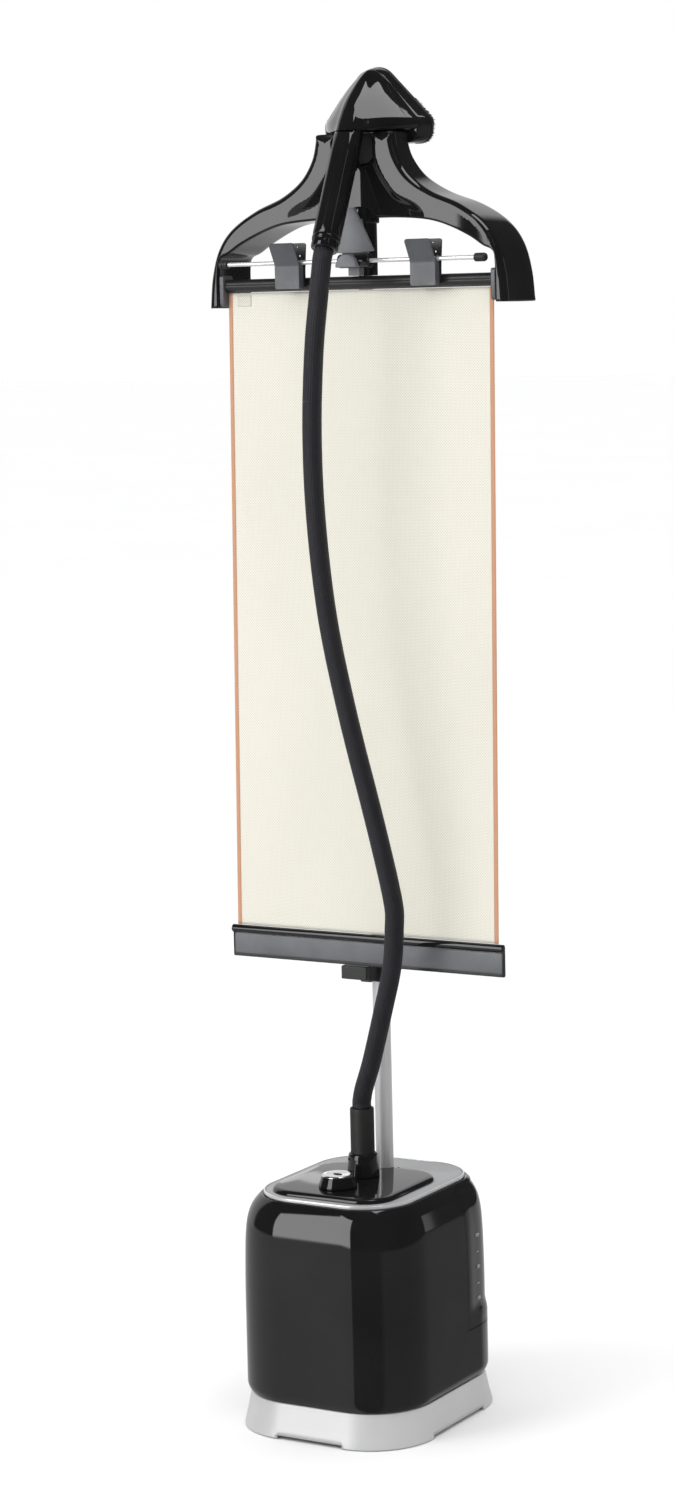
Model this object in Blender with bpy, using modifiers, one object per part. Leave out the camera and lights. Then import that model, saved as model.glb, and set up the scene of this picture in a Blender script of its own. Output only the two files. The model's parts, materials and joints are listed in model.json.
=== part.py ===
"""Upright garment steamer with a telescopic pole, a trouser hanger and a roll-down press screen.

Units are metres. +Z is up, the front is -Y, and the origin is on the floor below the middle of the base.
"""

import math

import bmesh
import bpy
from mathutils import Matrix, Vector

GAP = 0.0003  # running gap between neighbouring solids
SIDES = 28  # facets of an ordinary round piece

# base
BODY_W, BODY_D, BODY_CORNER = 0.255, 0.292, 0.080
SKIRT_W, SKIRT_D, SKIRT_CORNER = 0.261, 0.308, 0.085
SKIRT_TOP, BODY_FOOT, HOUSING_TOP, DECK_TOP = 0.0443, 0.0447, 0.2980, 0.3024
WALL = 0.003
DECK_W, DECK_D, DECK_CORNER = 0.2008, 0.2462, 0.0635
TANK_FRONT, TANK_FLOOR, TANK_ROOF = 0.0365, 0.1120, 0.2935
PLATFORM_W, PLATFORM_D, PLATFORM_Y, PLATFORM_TOP = 0.170, 0.172, -0.028, 0.3090
KNOB_Y, KNOB_R, KNOB_TOP = -0.067, 0.0243, 0.3262
SOCKET_Y, CUFF_TOP = -0.003, 0.3978

# telescopic pole
POLE_Y = 0.053
LOWER_R, MIDDLE_R, UPPER_R, TUBE_WALL = 0.0112, 0.0100, 0.0087, 0.0008
LOWER_TOP, MIDDLE_FOOT, MIDDLE_TOP = 0.9005, 0.6400, 1.2068
UPPER_FOOT, UPPER_TOP = 0.9500, 1.5400

# hanger
HANGER_WALL = 0.003
BAR_Y, BAR_Z, BAR_R = 0.0180, 1.4610, 0.0027
CASSETTE_Y, CASSETTE_Z, CASSETTE_HALF = 0.0350, 1.4342, 0.1905
CASSETTE_R = 0.0083

# press screen
SCREEN_W, SCREEN_TOP, SCREEN_FOOT = 0.379, 1.4255, 0.6176
SCREEN_TOP_Y, SCREEN_FOOT_Y, SCREEN_THICK = 0.0350, 0.0170, 0.0010
RAIL_HALF, RAIL_Z, RAIL_R = 0.1950, 0.6118, 0.0052

# clips, steam head and hose
CLIP_X = {"left": -0.0886, "right": 0.1048}
CLIP_HALF = 0.0175
HEAD_FRONT_FLOOR, HEAD_BACK_FLOOR = 1.6197, 1.6050
HEAD_HALF, HEAD_APEX, HEAD_BACK_Y = 0.0780, 1.7007, 0.0760
HANDLE_R, HANDLE_LEAN = 0.0170, 0.4744
HOSE_R = 0.0120
HOSE_ROUTE = [
    (0.0000, -0.0030, 0.3982), (0.0000, -0.0030, 0.4050), (0.0060, -0.0072, 0.4230), (0.0238, -0.0160, 0.4630),
    (0.0509, -0.0300, 0.5360), (0.0682, -0.0380, 0.5890), (0.0768, -0.0450, 0.6410),
    (0.0778, -0.0500, 0.6785), (0.0592, -0.0590, 0.7780), (0.0309, -0.0660, 0.9000),
    (0.0072, -0.0710, 1.0230), (-0.0047, -0.0740, 1.1460), (-0.0074, -0.0740, 1.2560),
    (-0.0042, -0.0700, 1.3540), (-0.0008, -0.0620, 1.4180), (0.0000, -0.0523, 1.4646),
    (0.0000, -0.0480, 1.4736),
]

FINISHES = {
    "gloss_black": ((0.012, 0.012, 0.013), 0.12, 0.0),
    "satin_black": ((0.020, 0.020, 0.022), 0.45, 0.0),
    "grey_plastic": ((0.095, 0.098, 0.105), 0.45, 0.0),
    "deck_grey": ((0.36, 0.37, 0.38), 0.35, 0.2),
    "silver_paint": ((0.62, 0.62, 0.63), 0.35, 0.4),
    "chrome": ((0.85, 0.85, 0.86), 0.08, 1.0),
    "aluminium": ((0.72, 0.72, 0.73), 0.30, 1.0),
    "steel": ((0.60, 0.60, 0.61), 0.25, 1.0),
    "rubber": ((0.015, 0.015, 0.015), 0.80, 0.0),
    "smoked": ((0.015, 0.015, 0.017), 0.08, 0.0),
    "cloth": ((0.88, 0.85, 0.76), 0.85, 0.0),
    "sleeve": ((0.016, 0.016, 0.022), 0.75, 0.0),
    "copper": ((0.70, 0.33, 0.18), 0.35, 1.0),
    "board": ((0.03, 0.16, 0.07), 0.50, 0.0),
    "white_nylon": ((0.70, 0.70, 0.68), 0.50, 0.0),
}


# ---------- scene and materials ----------

def clear_scene():
    for old in list(bpy.data.objects):
        bpy.data.objects.remove(old, do_unlink=True)
    for name in ("garment_steamer", "cutters"):
        collection = bpy.data.collections.new(name)
        bpy.context.scene.collection.children.link(collection)


def material_for(name, finish):
    colour, roughness, metallic = FINISHES[finish]
    material = bpy.data.materials.new(name + "_" + finish)
    material.use_nodes = True
    shader = material.node_tree.nodes["Principled BSDF"]
    shader.inputs["Base Color"].default_value = (*colour, 1.0)
    shader.inputs["Roughness"].default_value = roughness
    shader.inputs["Metallic"].default_value = metallic
    material.diffuse_color = (*colour, 1.0)
    return material


def add_object(name, mesh, finish):
    """Link a mesh as a part, or as a hidden cutter when it has no finish."""
    thing = bpy.data.objects.new(name, mesh)
    if finish is None:
        bpy.data.collections["cutters"].objects.link(thing)
        thing.hide_render = True
        thing.display_type = "WIRE"
    else:
        bpy.data.collections["garment_steamer"].objects.link(thing)
        mesh.materials.append(material_for(name, finish))
    return thing


def mesh_from(name, bm, smooth=True):
    bmesh.ops.recalc_face_normals(bm, faces=bm.faces)
    mesh = bpy.data.meshes.new(name)
    bm.to_mesh(mesh)
    bm.free()
    if smooth:
        mesh.shade_smooth()
        mesh.set_sharp_from_angle(angle=math.radians(35))
    return mesh


# ---------- building blocks ----------

def box(name, low, high, finish, bevel=0.0):
    low, high = Vector(low), Vector(high)
    bm = bmesh.new()
    bmesh.ops.create_cube(bm, size=1.0)
    bmesh.ops.scale(bm, vec=high - low, verts=bm.verts)
    thing = add_object(name, mesh_from(name, bm, smooth=False), finish)
    thing.location = (low + high) / 2
    if bevel:
        soften(thing, bevel)
    return thing


def soften(thing, width, segments=2):
    rounder = thing.modifiers.new("soften", "BEVEL")
    rounder.width = width
    rounder.segments = segments
    rounder.limit_method = "ANGLE"
    rounder.angle_limit = math.radians(40)


def cylinder(name, start, end, radius, finish, sides=SIDES, top_radius=None):
    start, end = Vector(start), Vector(end)
    bm = bmesh.new()
    bmesh.ops.create_cone(
        bm, cap_ends=True, segments=sides, radius1=radius,
        radius2=radius if top_radius is None else top_radius, depth=(end - start).length,
    )
    thing = add_object(name, mesh_from(name, bm), finish)
    thing.location = (start + end) / 2
    thing.rotation_euler = (end - start).to_track_quat("Z", "Y").to_euler()
    return thing


def turned(name, profile, centre, finish, sides=SIDES, ring=False):
    """A profile of (radius, height) points, running down its outer side, spun about Z."""
    mesh = bpy.data.meshes.new(name)
    edges = [(i, i + 1) for i in range(len(profile) - 1)]
    if ring:
        edges.append((len(profile) - 1, 0))
    mesh.from_pydata([(r, 0.0, z) for r, z in profile], edges, [])
    thing = add_object(name, mesh, finish)
    thing.location = centre
    screw = thing.modifiers.new("turn", "SCREW")
    screw.angle = math.tau
    screw.steps = screw.render_steps = sides
    screw.use_merge_vertices = True
    screw.merge_threshold = 0.00001
    return thing


def pipe(name, centre, foot, top, inner, outer, finish, sides=SIDES):
    profile = [(outer, top), (outer, foot), (inner, foot), (inner, top)]
    return turned(name, profile, (*centre, 0.0), finish, sides, ring=True)


def loft(name, rings, finish, ring=False):
    """Join outlines with equal numbers of points; a ring joins the last outline to the first."""
    bm = bmesh.new()
    loops = [[bm.verts.new(point) for point in outline] for outline in rings]
    pairs = list(zip(loops, loops[1:]))
    if ring:
        pairs.append((loops[-1], loops[0]))
    else:
        bm.faces.new(list(reversed(loops[0])))
        bm.faces.new(loops[-1])
    for one, other in pairs:
        for i in range(len(one)):
            j = (i + 1) % len(one)
            bm.faces.new((one[i], one[j], other[j], other[i]))
    return add_object(name, mesh_from(name, bm), finish)


def rounded_rectangle(width, depth, corner, z, middle_y=0.0, steps=7):
    points = []
    for side_x, side_y, start in ((1, 1, 0), (-1, 1, 90), (-1, -1, 180), (1, -1, 270)):
        for step in range(steps + 1):
            angle = math.radians(start + 90 * step / steps)
            x = side_x * (width / 2 - corner) + corner * math.cos(angle)
            y = side_y * (depth / 2 - corner) + corner * math.sin(angle)
            points.append((x, middle_y + y, z))
    return points


def rounded_polygon(corners, radii, steps=4):
    """A closed 2D outline whose corners are replaced by arcs."""
    outline = []
    for i, corner in enumerate(corners):
        here = Vector(corner)
        back = (Vector(corners[i - 1]) - here).normalized()
        ahead = (Vector(corners[(i + 1) % len(corners)]) - here).normalized()
        half = back.angle(ahead) / 2
        centre = here + (back + ahead).normalized() * radii[i] / math.sin(half)
        first = here + back * radii[i] / math.tan(half) - centre
        turn = first.angle_signed(here + ahead * radii[i] / math.tan(half) - centre)
        for step in range(steps + 1):
            spin = Matrix.Rotation(-turn * step / steps, 2)
            outline.append(centre + spin @ first)
    return outline


def smooth_curve(points, steps):
    """A Catmull-Rom curve through the points, with the given number of steps between two."""
    points = [Vector(p) for p in points]
    ends = [2 * points[0] - points[1], *points, 2 * points[-1] - points[-2]]
    curve = []
    for a, b, c, d in zip(ends, ends[1:], ends[2:], ends[3:]):
        for step in range(steps):
            t = step / steps
            near = 2 * b + (c - a) * t
            far = (2 * a - 5 * b + 4 * c - d) * t * t + (3 * b - a - 3 * c + d) * t ** 3
            curve.append((near + far) / 2)
    return [*curve, points[-1]]


def tube(name, points, radius, finish, resolution=2):
    """A round wire or hose along the points, as one closed mesh."""
    curve = bpy.data.curves.new(name, "CURVE")
    curve.dimensions = "3D"
    curve.bevel_depth = radius
    curve.bevel_resolution = resolution
    curve.use_fill_caps = True
    spline = curve.splines.new("POLY")
    spline.points.add(len(points) - 1)
    for target, point in zip(spline.points, points):
        target.co = (*point, 1.0)
    return weld_curve(name, curve, Matrix.Identity(4), finish)


def flat_outline(name, outlines, thickness, place, finish):
    """A flat outline, with any holes, thickened about its own plane and set in place."""
    curve = bpy.data.curves.new(name, "CURVE")
    curve.dimensions = "2D"
    curve.fill_mode = "BOTH"
    curve.extrude = thickness / 2
    for outline in outlines:
        spline = curve.splines.new("POLY")
        spline.points.add(len(outline) - 1)
        for target, point in zip(spline.points, outline):
            target.co = (point[0], point[1], 0.0, 1.0)
        spline.use_cyclic_u = True
    return weld_curve(name, curve, place, finish)


def weld_curve(name, curve, place, finish):
    """Turn a curve into a welded mesh object."""
    guide = bpy.data.objects.new(name + "_guide", curve)
    bpy.context.scene.collection.objects.link(guide)
    guide.matrix_world = place
    graph = bpy.context.evaluated_depsgraph_get()
    mesh = bpy.data.meshes.new_from_object(guide.evaluated_get(graph))
    bm = bmesh.new()
    bm.from_mesh(mesh)
    bmesh.ops.remove_doubles(bm, verts=bm.verts, dist=0.000002)
    bpy.data.objects.remove(guide, do_unlink=True)
    bpy.data.meshes.remove(mesh)
    thing = add_object(name, mesh_from(name, bm), finish)
    thing.matrix_world = place
    return thing


def along_x(x):
    """Outline axes (u, v) become (Y, Z), and the thickness lies along X."""
    return Matrix(((0, 0, 1, x), (1, 0, 0, 0), (0, 1, 0, 0), (0, 0, 0, 1)))


def facing_front(y):
    """Outline axes (u, v) become (X, Z), and the thickness lies along Y."""
    return Matrix.Translation((0, y, 0)) @ Matrix.Rotation(math.radians(90), 4, "X")


def combine(target, other, operation, solver="EXACT"):
    change = target.modifiers.new(operation.lower(), "BOOLEAN")
    change.operation = operation
    change.object = other
    change.solver = solver
    return target


def cut(target, cutter, solver="EXACT"):
    return combine(target, cutter, "DIFFERENCE", solver)


def join(target, other, solver="EXACT"):
    return combine(target, other, "UNION", solver)


# ---------- base ----------

def body_outline(z, inset, margin=0.0):
    width, depth = BODY_W - 2 * (inset + margin), BODY_D - 2 * (0.8 * inset + margin)
    corner = BODY_CORNER - 0.6 * inset - margin
    return rounded_rectangle(width, depth, corner, z)


def body_inset(z):
    """How far the body's outline is drawn in at a height: a small foot radius and a long shoulder."""
    foot = 0.0045 * max(0.0, 1 - (z - BODY_FOOT) / 0.012) ** 2
    rise = max(0.0, (z - 0.150) / (HOUSING_TOP - 0.150))
    return foot + 0.0040 * rise ** 2 + 0.0180 * rise ** 9


def body_rings(low, high, count, margin=0.0):
    heights = [low + (high - low) * math.sin(math.pi / 2 * i / count) for i in range(count + 1)]
    return [body_outline(z, body_inset(z), margin) for z in heights]


def skirt():
    outer = [
        rounded_rectangle(SKIRT_W, SKIRT_D, SKIRT_CORNER, 0.0010),
        rounded_rectangle(SKIRT_W - 0.0075, SKIRT_D - 0.012, SKIRT_CORNER - 0.003, 0.0180),
        rounded_rectangle(0.2485, 0.2860, 0.0785, SKIRT_TOP),
    ]
    inner = [
        rounded_rectangle(0.2425, 0.2800, 0.0755, SKIRT_TOP),
        rounded_rectangle(SKIRT_W - 0.0135, SKIRT_D - 0.018, SKIRT_CORNER - 0.006, 0.0180),
        rounded_rectangle(SKIRT_W - 0.006, SKIRT_D - 0.006, SKIRT_CORNER - 0.003, 0.0010),
    ]
    ring = loft("skirt", outer + inner, "silver_paint", ring=True)
    cut(ring, box("skirt_notch_y", (-0.047, -0.2, -0.01), (0.047, 0.2, 0.0055), None))
    cut(ring, box("skirt_notch_x", (-0.2, -0.066, -0.01), (0.2, 0.066, 0.0055), None))


def base_tray():
    rings = [rounded_rectangle(0.2380, 0.2750, 0.073, z) for z in (0.0090, 0.0130)]
    loft("base_tray", rings, "satin_black")
    for side, x in (("left", -1), ("right", 1)):
        for end, y in (("front", -1), ("back", 1)):
            profile = [(0, 0.0087), (0.012, 0.0087), (0.0105, 0.0), (0, 0.0)]
            turned(f"foot_{end}_{side}", profile, (x * 0.078, y * 0.100, 0), "rubber", 24)


def housing():
    outer = body_rings(BODY_FOOT, HOUSING_TOP, 10)
    inner = list(reversed(body_rings(BODY_FOOT, HOUSING_TOP, 6, WALL)))
    shell = loft("housing", outer + inner, "gloss_black", ring=True)
    low = (-0.2, TANK_FRONT - GAP, TANK_FLOOR - GAP)
    cut(shell, box("tank_bay", low, (0.2, 0.2, TANK_ROOF + GAP), None))
    cut(shell, cylinder("gland_hole", (0.045, 0.12, 0.075), (0.045, 0.16, 0.075), 0.0074, None))


def tank_block(name, margin, finish):
    block = loft(name, body_rings(TANK_FLOOR + margin, TANK_ROOF - margin, 6, margin), finish)
    front = TANK_FRONT + margin
    cut(block, box(name + "_front", (-0.2, -0.2, 0.0), (0.2, front, 0.4), None))
    recess = (0.0235 + margin, POLE_Y + 0.0235 + margin, 0.4)
    cut(block, box(name + "_recess", (-recess[0], 0.0, 0.0), recess, None))
    return block


def water_tank():
    tank = tank_block("water_tank", 0.0, "smoked")
    cut(tank, tank_block("tank_hollow", 0.0025, None))
    mouth = (0.0, 0.106)
    cut(tank, cylinder("tank_mouth", (*mouth, 0.28), (*mouth, 0.30), 0.0125, None))
    cylinder("tank_cap", (*mouth, 0.2885), (*mouth, 0.2932), 0.0121, "satin_black")


def tank_shelf():
    shelf = loft("tank_shelf", [body_outline(z, 0, 0.0034) for z in (0.1086, 0.1114)], "satin_black")
    cut(shelf, box("shelf_front", (-0.2, -0.2, 0.1), (0.2, TANK_FRONT, 0.12), None))


def deck():
    plate = loft("deck", [rounded_rectangle(DECK_W, DECK_D, DECK_CORNER, z)
                          for z in (0.2945, DECK_TOP)], "deck_grey")
    soften(plate, 0.0012)
    drill_top(plate)
    outer = [rounded_rectangle(0.2072, 0.2532, 0.0665, z) for z in (0.2983, 0.3028)]
    inner = [rounded_rectangle(0.2014, 0.2468, 0.0638, z) for z in (0.3028, 0.2983)]
    loft("trim_line", outer + inner, "chrome", ring=True)


def drill_top(plate):
    """Holes through the deck and the platform for the pole, the steam pipe and the knob's shaft."""
    holes = {"pole": (POLE_Y, LOWER_R + GAP), "steam": (SOCKET_Y, 0.0120), "shaft": (KNOB_Y, 0.0045)}
    for purpose, (y, radius) in holes.items():
        name = f"{plate.name}_{purpose}_hole"
        cut(plate, cylinder(name, (0, y, 0.28), (0, y, 0.32), radius, None))


def platform():
    foot = rounded_rectangle(PLATFORM_W, PLATFORM_D, 0.040, DECK_TOP + GAP, PLATFORM_Y)
    lip = rounded_rectangle(PLATFORM_W - 0.003, PLATFORM_D - 0.003, 0.039, 0.3070, PLATFORM_Y)
    top = rounded_rectangle(PLATFORM_W - 0.010, PLATFORM_D - 0.010, 0.036, PLATFORM_TOP, PLATFORM_Y)
    drill_top(loft("platform", [foot, lip, top], "gloss_black"))


def knob():
    skirt_z = PLATFORM_TOP + GAP
    body = [
        (0, KNOB_TOP - 0.0020), (0.0200, KNOB_TOP - 0.0020), (0.0212, KNOB_TOP - 0.0040),
        (KNOB_R, skirt_z + 0.0030), (KNOB_R, skirt_z), (0.0041, skirt_z), (0.0041, 0.2900), (0, 0.2900),
    ]
    turned("knob", body, (0, KNOB_Y, 0), "gloss_black")
    top = [(0, KNOB_TOP), (0.0192, KNOB_TOP), (0.0200, KNOB_TOP - 0.0010),
           (0.0200, KNOB_TOP - 0.0017), (0, KNOB_TOP - 0.0017)]
    cap = turned("knob_cap", top, (0, KNOB_Y, 0), "chrome")
    slot = ((-0.0060, KNOB_Y - 0.0022, KNOB_TOP - 0.0008), (0.0060, KNOB_Y + 0.0022, KNOB_TOP + 0.01))
    cut(cap, box("knob_slot", *slot, None))


def hose_fittings():
    foot = PLATFORM_TOP + GAP
    socket = [
        (0.0172, 0.3396), (0.0178, 0.3386), (0.0190, 0.3230), (0.0208, foot), (0.0070, foot),
        (0.0070, 0.3396),
    ]
    turned("hose_socket", socket, (0, SOCKET_Y, 0), "gloss_black", ring=True)
    cuff = [(0.0148, CUFF_TOP), (0.0153, CUFF_TOP - 0.001), (0.0153, 0.3399), (0.0070, 0.3399),
            (0.0070, CUFF_TOP)]
    turned("hose_cuff", cuff, (0, SOCKET_Y, 0), "rubber", ring=True)
    pipe("pole_socket", (0, POLE_Y), 0.1150, 0.2942, LOWER_R + GAP, 0.0158, "satin_black")


def internals():
    boiler = [(0, 0.1010), (0.034, 0.1010), (0.042, 0.0930), (0.042, 0.0210), (0.038, 0.0133), (0, 0.0133)]
    turned("boiler", boiler, (-0.055, -0.045, 0), "aluminium")
    cylinder("pump", (0.030, 0.010, 0.0400), (0.085, 0.010, 0.0400), 0.0200, "white_nylon", 24)
    box("control_board", (0.020, -0.105, 0.0180), (0.090, -0.045, 0.0196), "board")
    steam = [(-0.055, -0.045, 0.1014), (-0.055, -0.045, 0.150), (-0.040, -0.033, 0.210),
             (-0.008, -0.008, 0.255), (0.0, SOCKET_Y, 0.285), (0.0, SOCKET_Y, 0.330)]
    tube("steam_pipe", smooth_curve(steam, 4), 0.0050, "copper")
    gland = [(0.0070, 0.0), (0.0070, 0.018), (0.0052, 0.018), (0.0052, 0.0)]
    inlet = turned("cord_gland", [(r, -z) for r, z in gland], (0.045, 0.1530, 0.075), "rubber", 24, ring=True)
    inlet.rotation_euler = (math.radians(-90), 0, 0)


# ---------- pole ----------

def clamp(prefix, foot, height, bore, radius):
    """A clamping collar with two lugs, and a lever with a moulded pin that turns in them."""
    top = foot + height
    collar = pipe(prefix + "_collar", (0, POLE_Y), foot, top, bore, radius, "satin_black")
    lug_x, pin = radius - 0.0020, (radius + 0.0023, POLE_Y - 0.0075)
    for tag, low, high in (("low", foot + 0.0005, foot + 0.0055), ("high", top - 0.0055, top - 0.0005)):
        corner = (lug_x - 0.003, pin[1] - 0.0023, low)
        join(collar, box(f"{prefix}_lug_{tag}", corner, (pin[0] + 0.0023, pin[1] + 0.0023, high), None))
    hole = f"{prefix}_pin_hole"
    cut(collar, cylinder(hole, (*pin, foot - 0.01), (*pin, top + 0.01), 0.0013, None, 16))
    low = (radius + 0.0004, pin[1] - 0.0020, foot + 0.0060)
    lever = box(prefix + "_lever", low, (radius + 0.0042, POLE_Y + 0.0145, top - 0.0060), "gloss_black", 0.0006)
    join(lever, cylinder(prefix + "_pin", (*pin, foot + 0.0002), (*pin, top - 0.0002), 0.0010, None, 16))


def pole():
    tubes = (("lower", LOWER_R, 0.1165, LOWER_TOP), ("middle", MIDDLE_R, MIDDLE_FOOT, MIDDLE_TOP),
             ("upper", UPPER_R, UPPER_FOOT, UPPER_TOP))
    for name, radius, foot, top in tubes:
        pipe(name + "_tube", (0, POLE_Y), foot, top, radius - TUBE_WALL, radius, "aluminium", 32)
    clamp("lower", 0.8795, 0.0230, LOWER_R + GAP, 0.0155)
    clamp("upper", 1.1864, 0.0225, MIDDLE_R + GAP, 0.0145)


def rail_holder():
    """A ring on the pole with an arm that ends in the rest for the screen's bottom rail."""
    holder = pipe("rail_holder", (0, POLE_Y), 0.5490, 0.5660, LOWER_R + GAP, 0.0145, "satin_black")
    join(holder, box("rail_holder_arm", (-0.0110, 0.0200, 0.5530), (-0.0010, 0.0402, 0.5640), None))
    join(holder, box("rail_holder_rest", (-0.0334, 0.0100, 0.5600), (-0.0010, 0.0240, 0.5755), None))


# ---------- hanger ----------

def hanger_outline():
    """The bell-shaped outline in (x, z), from the cradle over the right horn and back."""
    cradle = [(0.0, 1.5800), (0.0140, 1.5830), (0.0225, 1.5940), (0.0250, 1.6100)]
    horn = [(0.0252, 1.6150), (0.0280, 1.6178), (0.0530, 1.6178), (0.0558, 1.6150)]
    shoulder = [
        (0.0560, 1.6080), (0.0620, 1.5860), (0.0780, 1.5625), (0.1060, 1.5430), (0.1450, 1.5270),
        (0.1790, 1.5050), (0.1985, 1.4790), (0.2085, 1.4450), (0.2125, 1.4070),
    ]
    inside = [
        (0.1978, 1.4070), (0.1978, 1.4520), (0.1965, 1.4655), (0.1915, 1.4710), (0.1810, 1.4752),
        (0.1640, 1.4858), (0.1390, 1.4976), (0.1140, 1.5062), (0.0900, 1.5103), (0.0500, 1.5130),
        (0.0, 1.5135),
    ]
    half = smooth_curve(cradle, 2) + horn + smooth_curve(shoulder, 2)
    half = [tuple(p) for p in half + smooth_curve(inside[:2], 1) + smooth_curve(inside[2:], 2)]
    return half + [(-x, z) for x, z in reversed(half[1:-1])]


def hanger_front(x):
    reach = min(1.0, max(0.0, (abs(x) - 0.120) / 0.090))
    return 0.0270 - 0.0060 * reach * reach * (3 - 2 * reach)


def hanger_back(x):
    reach = min(1.0, max(0.0, (abs(x) - 0.055) / 0.110))
    return 0.0690 + 0.0350 * (1 - (1 - reach) ** 1.6)


def inward(outline, distance):
    """The outline moved in by a distance; it runs clockwise seen from the front."""
    moved = []
    for i, point in enumerate(outline):
        here = Vector(point)
        before, after = Vector(outline[i - 1]), Vector(outline[(i + 1) % len(outline)])
        sides = [(here - before).normalized(), (after - here).normalized()]
        normals = [Vector((side.y, -side.x)) for side in sides]
        bisector = (normals[0] + normals[1]).normalized()
        moved.append(tuple(here + bisector * distance / max(0.5, bisector.dot(normals[0]))))
    return moved


def slice_across(mesh, places):
    """Cut a mesh's faces at each place along X, so that its depth can follow a curve."""
    bm = bmesh.new()
    bm.from_mesh(mesh)
    for x in places:
        bmesh.ops.bisect_plane(bm, geom=bm.verts[:] + bm.edges[:] + bm.faces[:], dist=0.00001,
                               plane_co=(x, 0, 0), plane_no=(1, 0, 0))
    bmesh.ops.triangulate(bm, faces=bm.faces)
    bm.to_mesh(mesh)
    bm.free()


def hanger_plate(name, outline, front, back, finish):
    """A solid between two surfaces, y = front(x) and y = back(x)."""
    plate = flat_outline(name, [outline], 0.002, facing_front(0), finish)
    slice_across(plate.data, [sign * (0.0137 + step * 0.0310) for step in range(7) for sign in (-1, 1)])
    for vertex in plate.data.vertices:
        depth = front if vertex.co.z > 0 else back
        vertex.co.z = -depth(vertex.co.x)
    return plate


def hanger():
    outline = hanger_outline()
    shell = hanger_plate("hanger_shell", outline, hanger_front, hanger_back, "gloss_black")
    hollow = hanger_plate("hanger_hollow", inward(outline, HANGER_WALL), lambda x: hanger_front(x) - 0.01,
                          lambda x: hanger_back(x) - HANGER_WALL, None)
    cut(shell, hollow, "MANIFOLD")
    hole = cylinder("hanger_pole_hole", (0, POLE_Y, 1.500), (0, POLE_Y, 1.530), 0.0128, None)
    cut(shell, hole, "MANIFOLD")
    hanger_plate("hanger_front_panel", inward(outline, HANGER_WALL + 0.0004),
                 lambda x: hanger_front(x) + 0.0003, lambda x: hanger_front(x) + 0.0030, "gloss_black")
    pipe("pole_head", (0, POLE_Y), 1.4480, 1.5450, UPPER_R + GAP, 0.0125, "satin_black")


def centre_bracket():
    """A tapered face in front of the hanger, a web down to the cassette, and the bar's half-round support."""
    web = [(-0.0195, 1.4560), (-0.0080, 1.4560), (-0.0080, 1.4430), (0.0080, 1.4430),
           (0.0080, 1.4560), (0.0195, 1.4560), (0.0070, 1.5128), (-0.0070, 1.5128)]
    bracket = flat_outline("centre_bracket", [web], 0.0120, facing_front(0.0300), "grey_plastic")
    face = [(-0.0307, 1.4728), (-0.0150, 1.4708), (0.0150, 1.4708), (0.0307, 1.4728),
            (0.0040, 1.5260), (-0.0040, 1.5260)]
    join(bracket, flat_outline("bracket_face", [face], 0.0056, facing_front(0.0218), None), "MANIFOLD")
    arc = [(0.0150 * math.cos(math.radians(a)), 1.4532 + 0.0165 * math.sin(math.radians(a)))
           for a in range(0, 181, 15)]
    join(bracket, flat_outline("bar_support", [arc], 0.0300, facing_front(0.0184), None), "MANIFOLD")
    bore = cylinder("bar_support_bore", (-0.03, BAR_Y, BAR_Z), (0.03, BAR_Y, BAR_Z), 0.0031, None, 24)
    cut(bracket, bore, "MANIFOLD")


def trouser_bar():
    cylinder("trouser_bar", (-0.1880, BAR_Y, BAR_Z), (0.1835, BAR_Y, BAR_Z), BAR_R, "chrome", 24)
    bore = cylinder("bar_end_bores", (-0.1885, BAR_Y, BAR_Z), (0.1840, BAR_Y, BAR_Z), 0.0031, None, 24)
    fitting = cylinder("bar_fitting", (-0.1905, BAR_Y, BAR_Z), (-0.1790, BAR_Y, BAR_Z), 0.0055, "satin_black", 24)
    cut(fitting, bore)
    cap = cylinder("bar_end_cap", (0.1735, BAR_Y, BAR_Z), (0.1900, BAR_Y, BAR_Z), 0.0053, "rubber", 24)
    soften(cap, 0.0018)
    cut(cap, bore)


def cassette():
    """A slotted tube that holds the roller, with an end plate in each of the hanger's tips."""
    def arc(radius, start, stop, steps):
        angles = [math.radians(start + (stop - start) * i / steps) for i in range(steps + 1)]
        return [(CASSETTE_Y + radius * math.cos(a), CASSETTE_Z + radius * math.sin(a)) for a in angles]

    outline = arc(CASSETTE_R, -78, 258, 26) + arc(CASSETTE_R - 0.0012, 256, -76, 22)
    flat_outline("cassette", [outline], 2 * CASSETTE_HALF, along_x(0), "satin_black")
    start, end = (-CASSETTE_HALF + 0.0005, CASSETTE_Y), (CASSETTE_HALF - 0.0005, CASSETTE_Y)
    cylinder("roller", (*start, CASSETTE_Z), (*end, CASSETTE_Z), 0.0048, "aluminium", 24)
    for side, sign in (("left", -1), ("right", 1)):
        inner, outer = sign * (CASSETTE_HALF + GAP), sign * 0.1974
        low, high = (min(inner, outer), 0.0240, 1.4090), (max(inner, outer), 0.0470, 1.4480)
        box(f"cassette_end_{side}", low, high, "grey_plastic", 0.0012)


# ---------- press screen ----------

def screen():
    half, thin = SCREEN_W / 2, SCREEN_THICK / 2
    rings = [[(-half, y - thin, z), (half, y - thin, z), (half, y + thin, z), (-half, y + thin, z)]
             for y, z in ((SCREEN_FOOT_Y, SCREEN_FOOT), (SCREEN_TOP_Y, SCREEN_TOP))]
    loft("screen", rings, "cloth")


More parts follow.
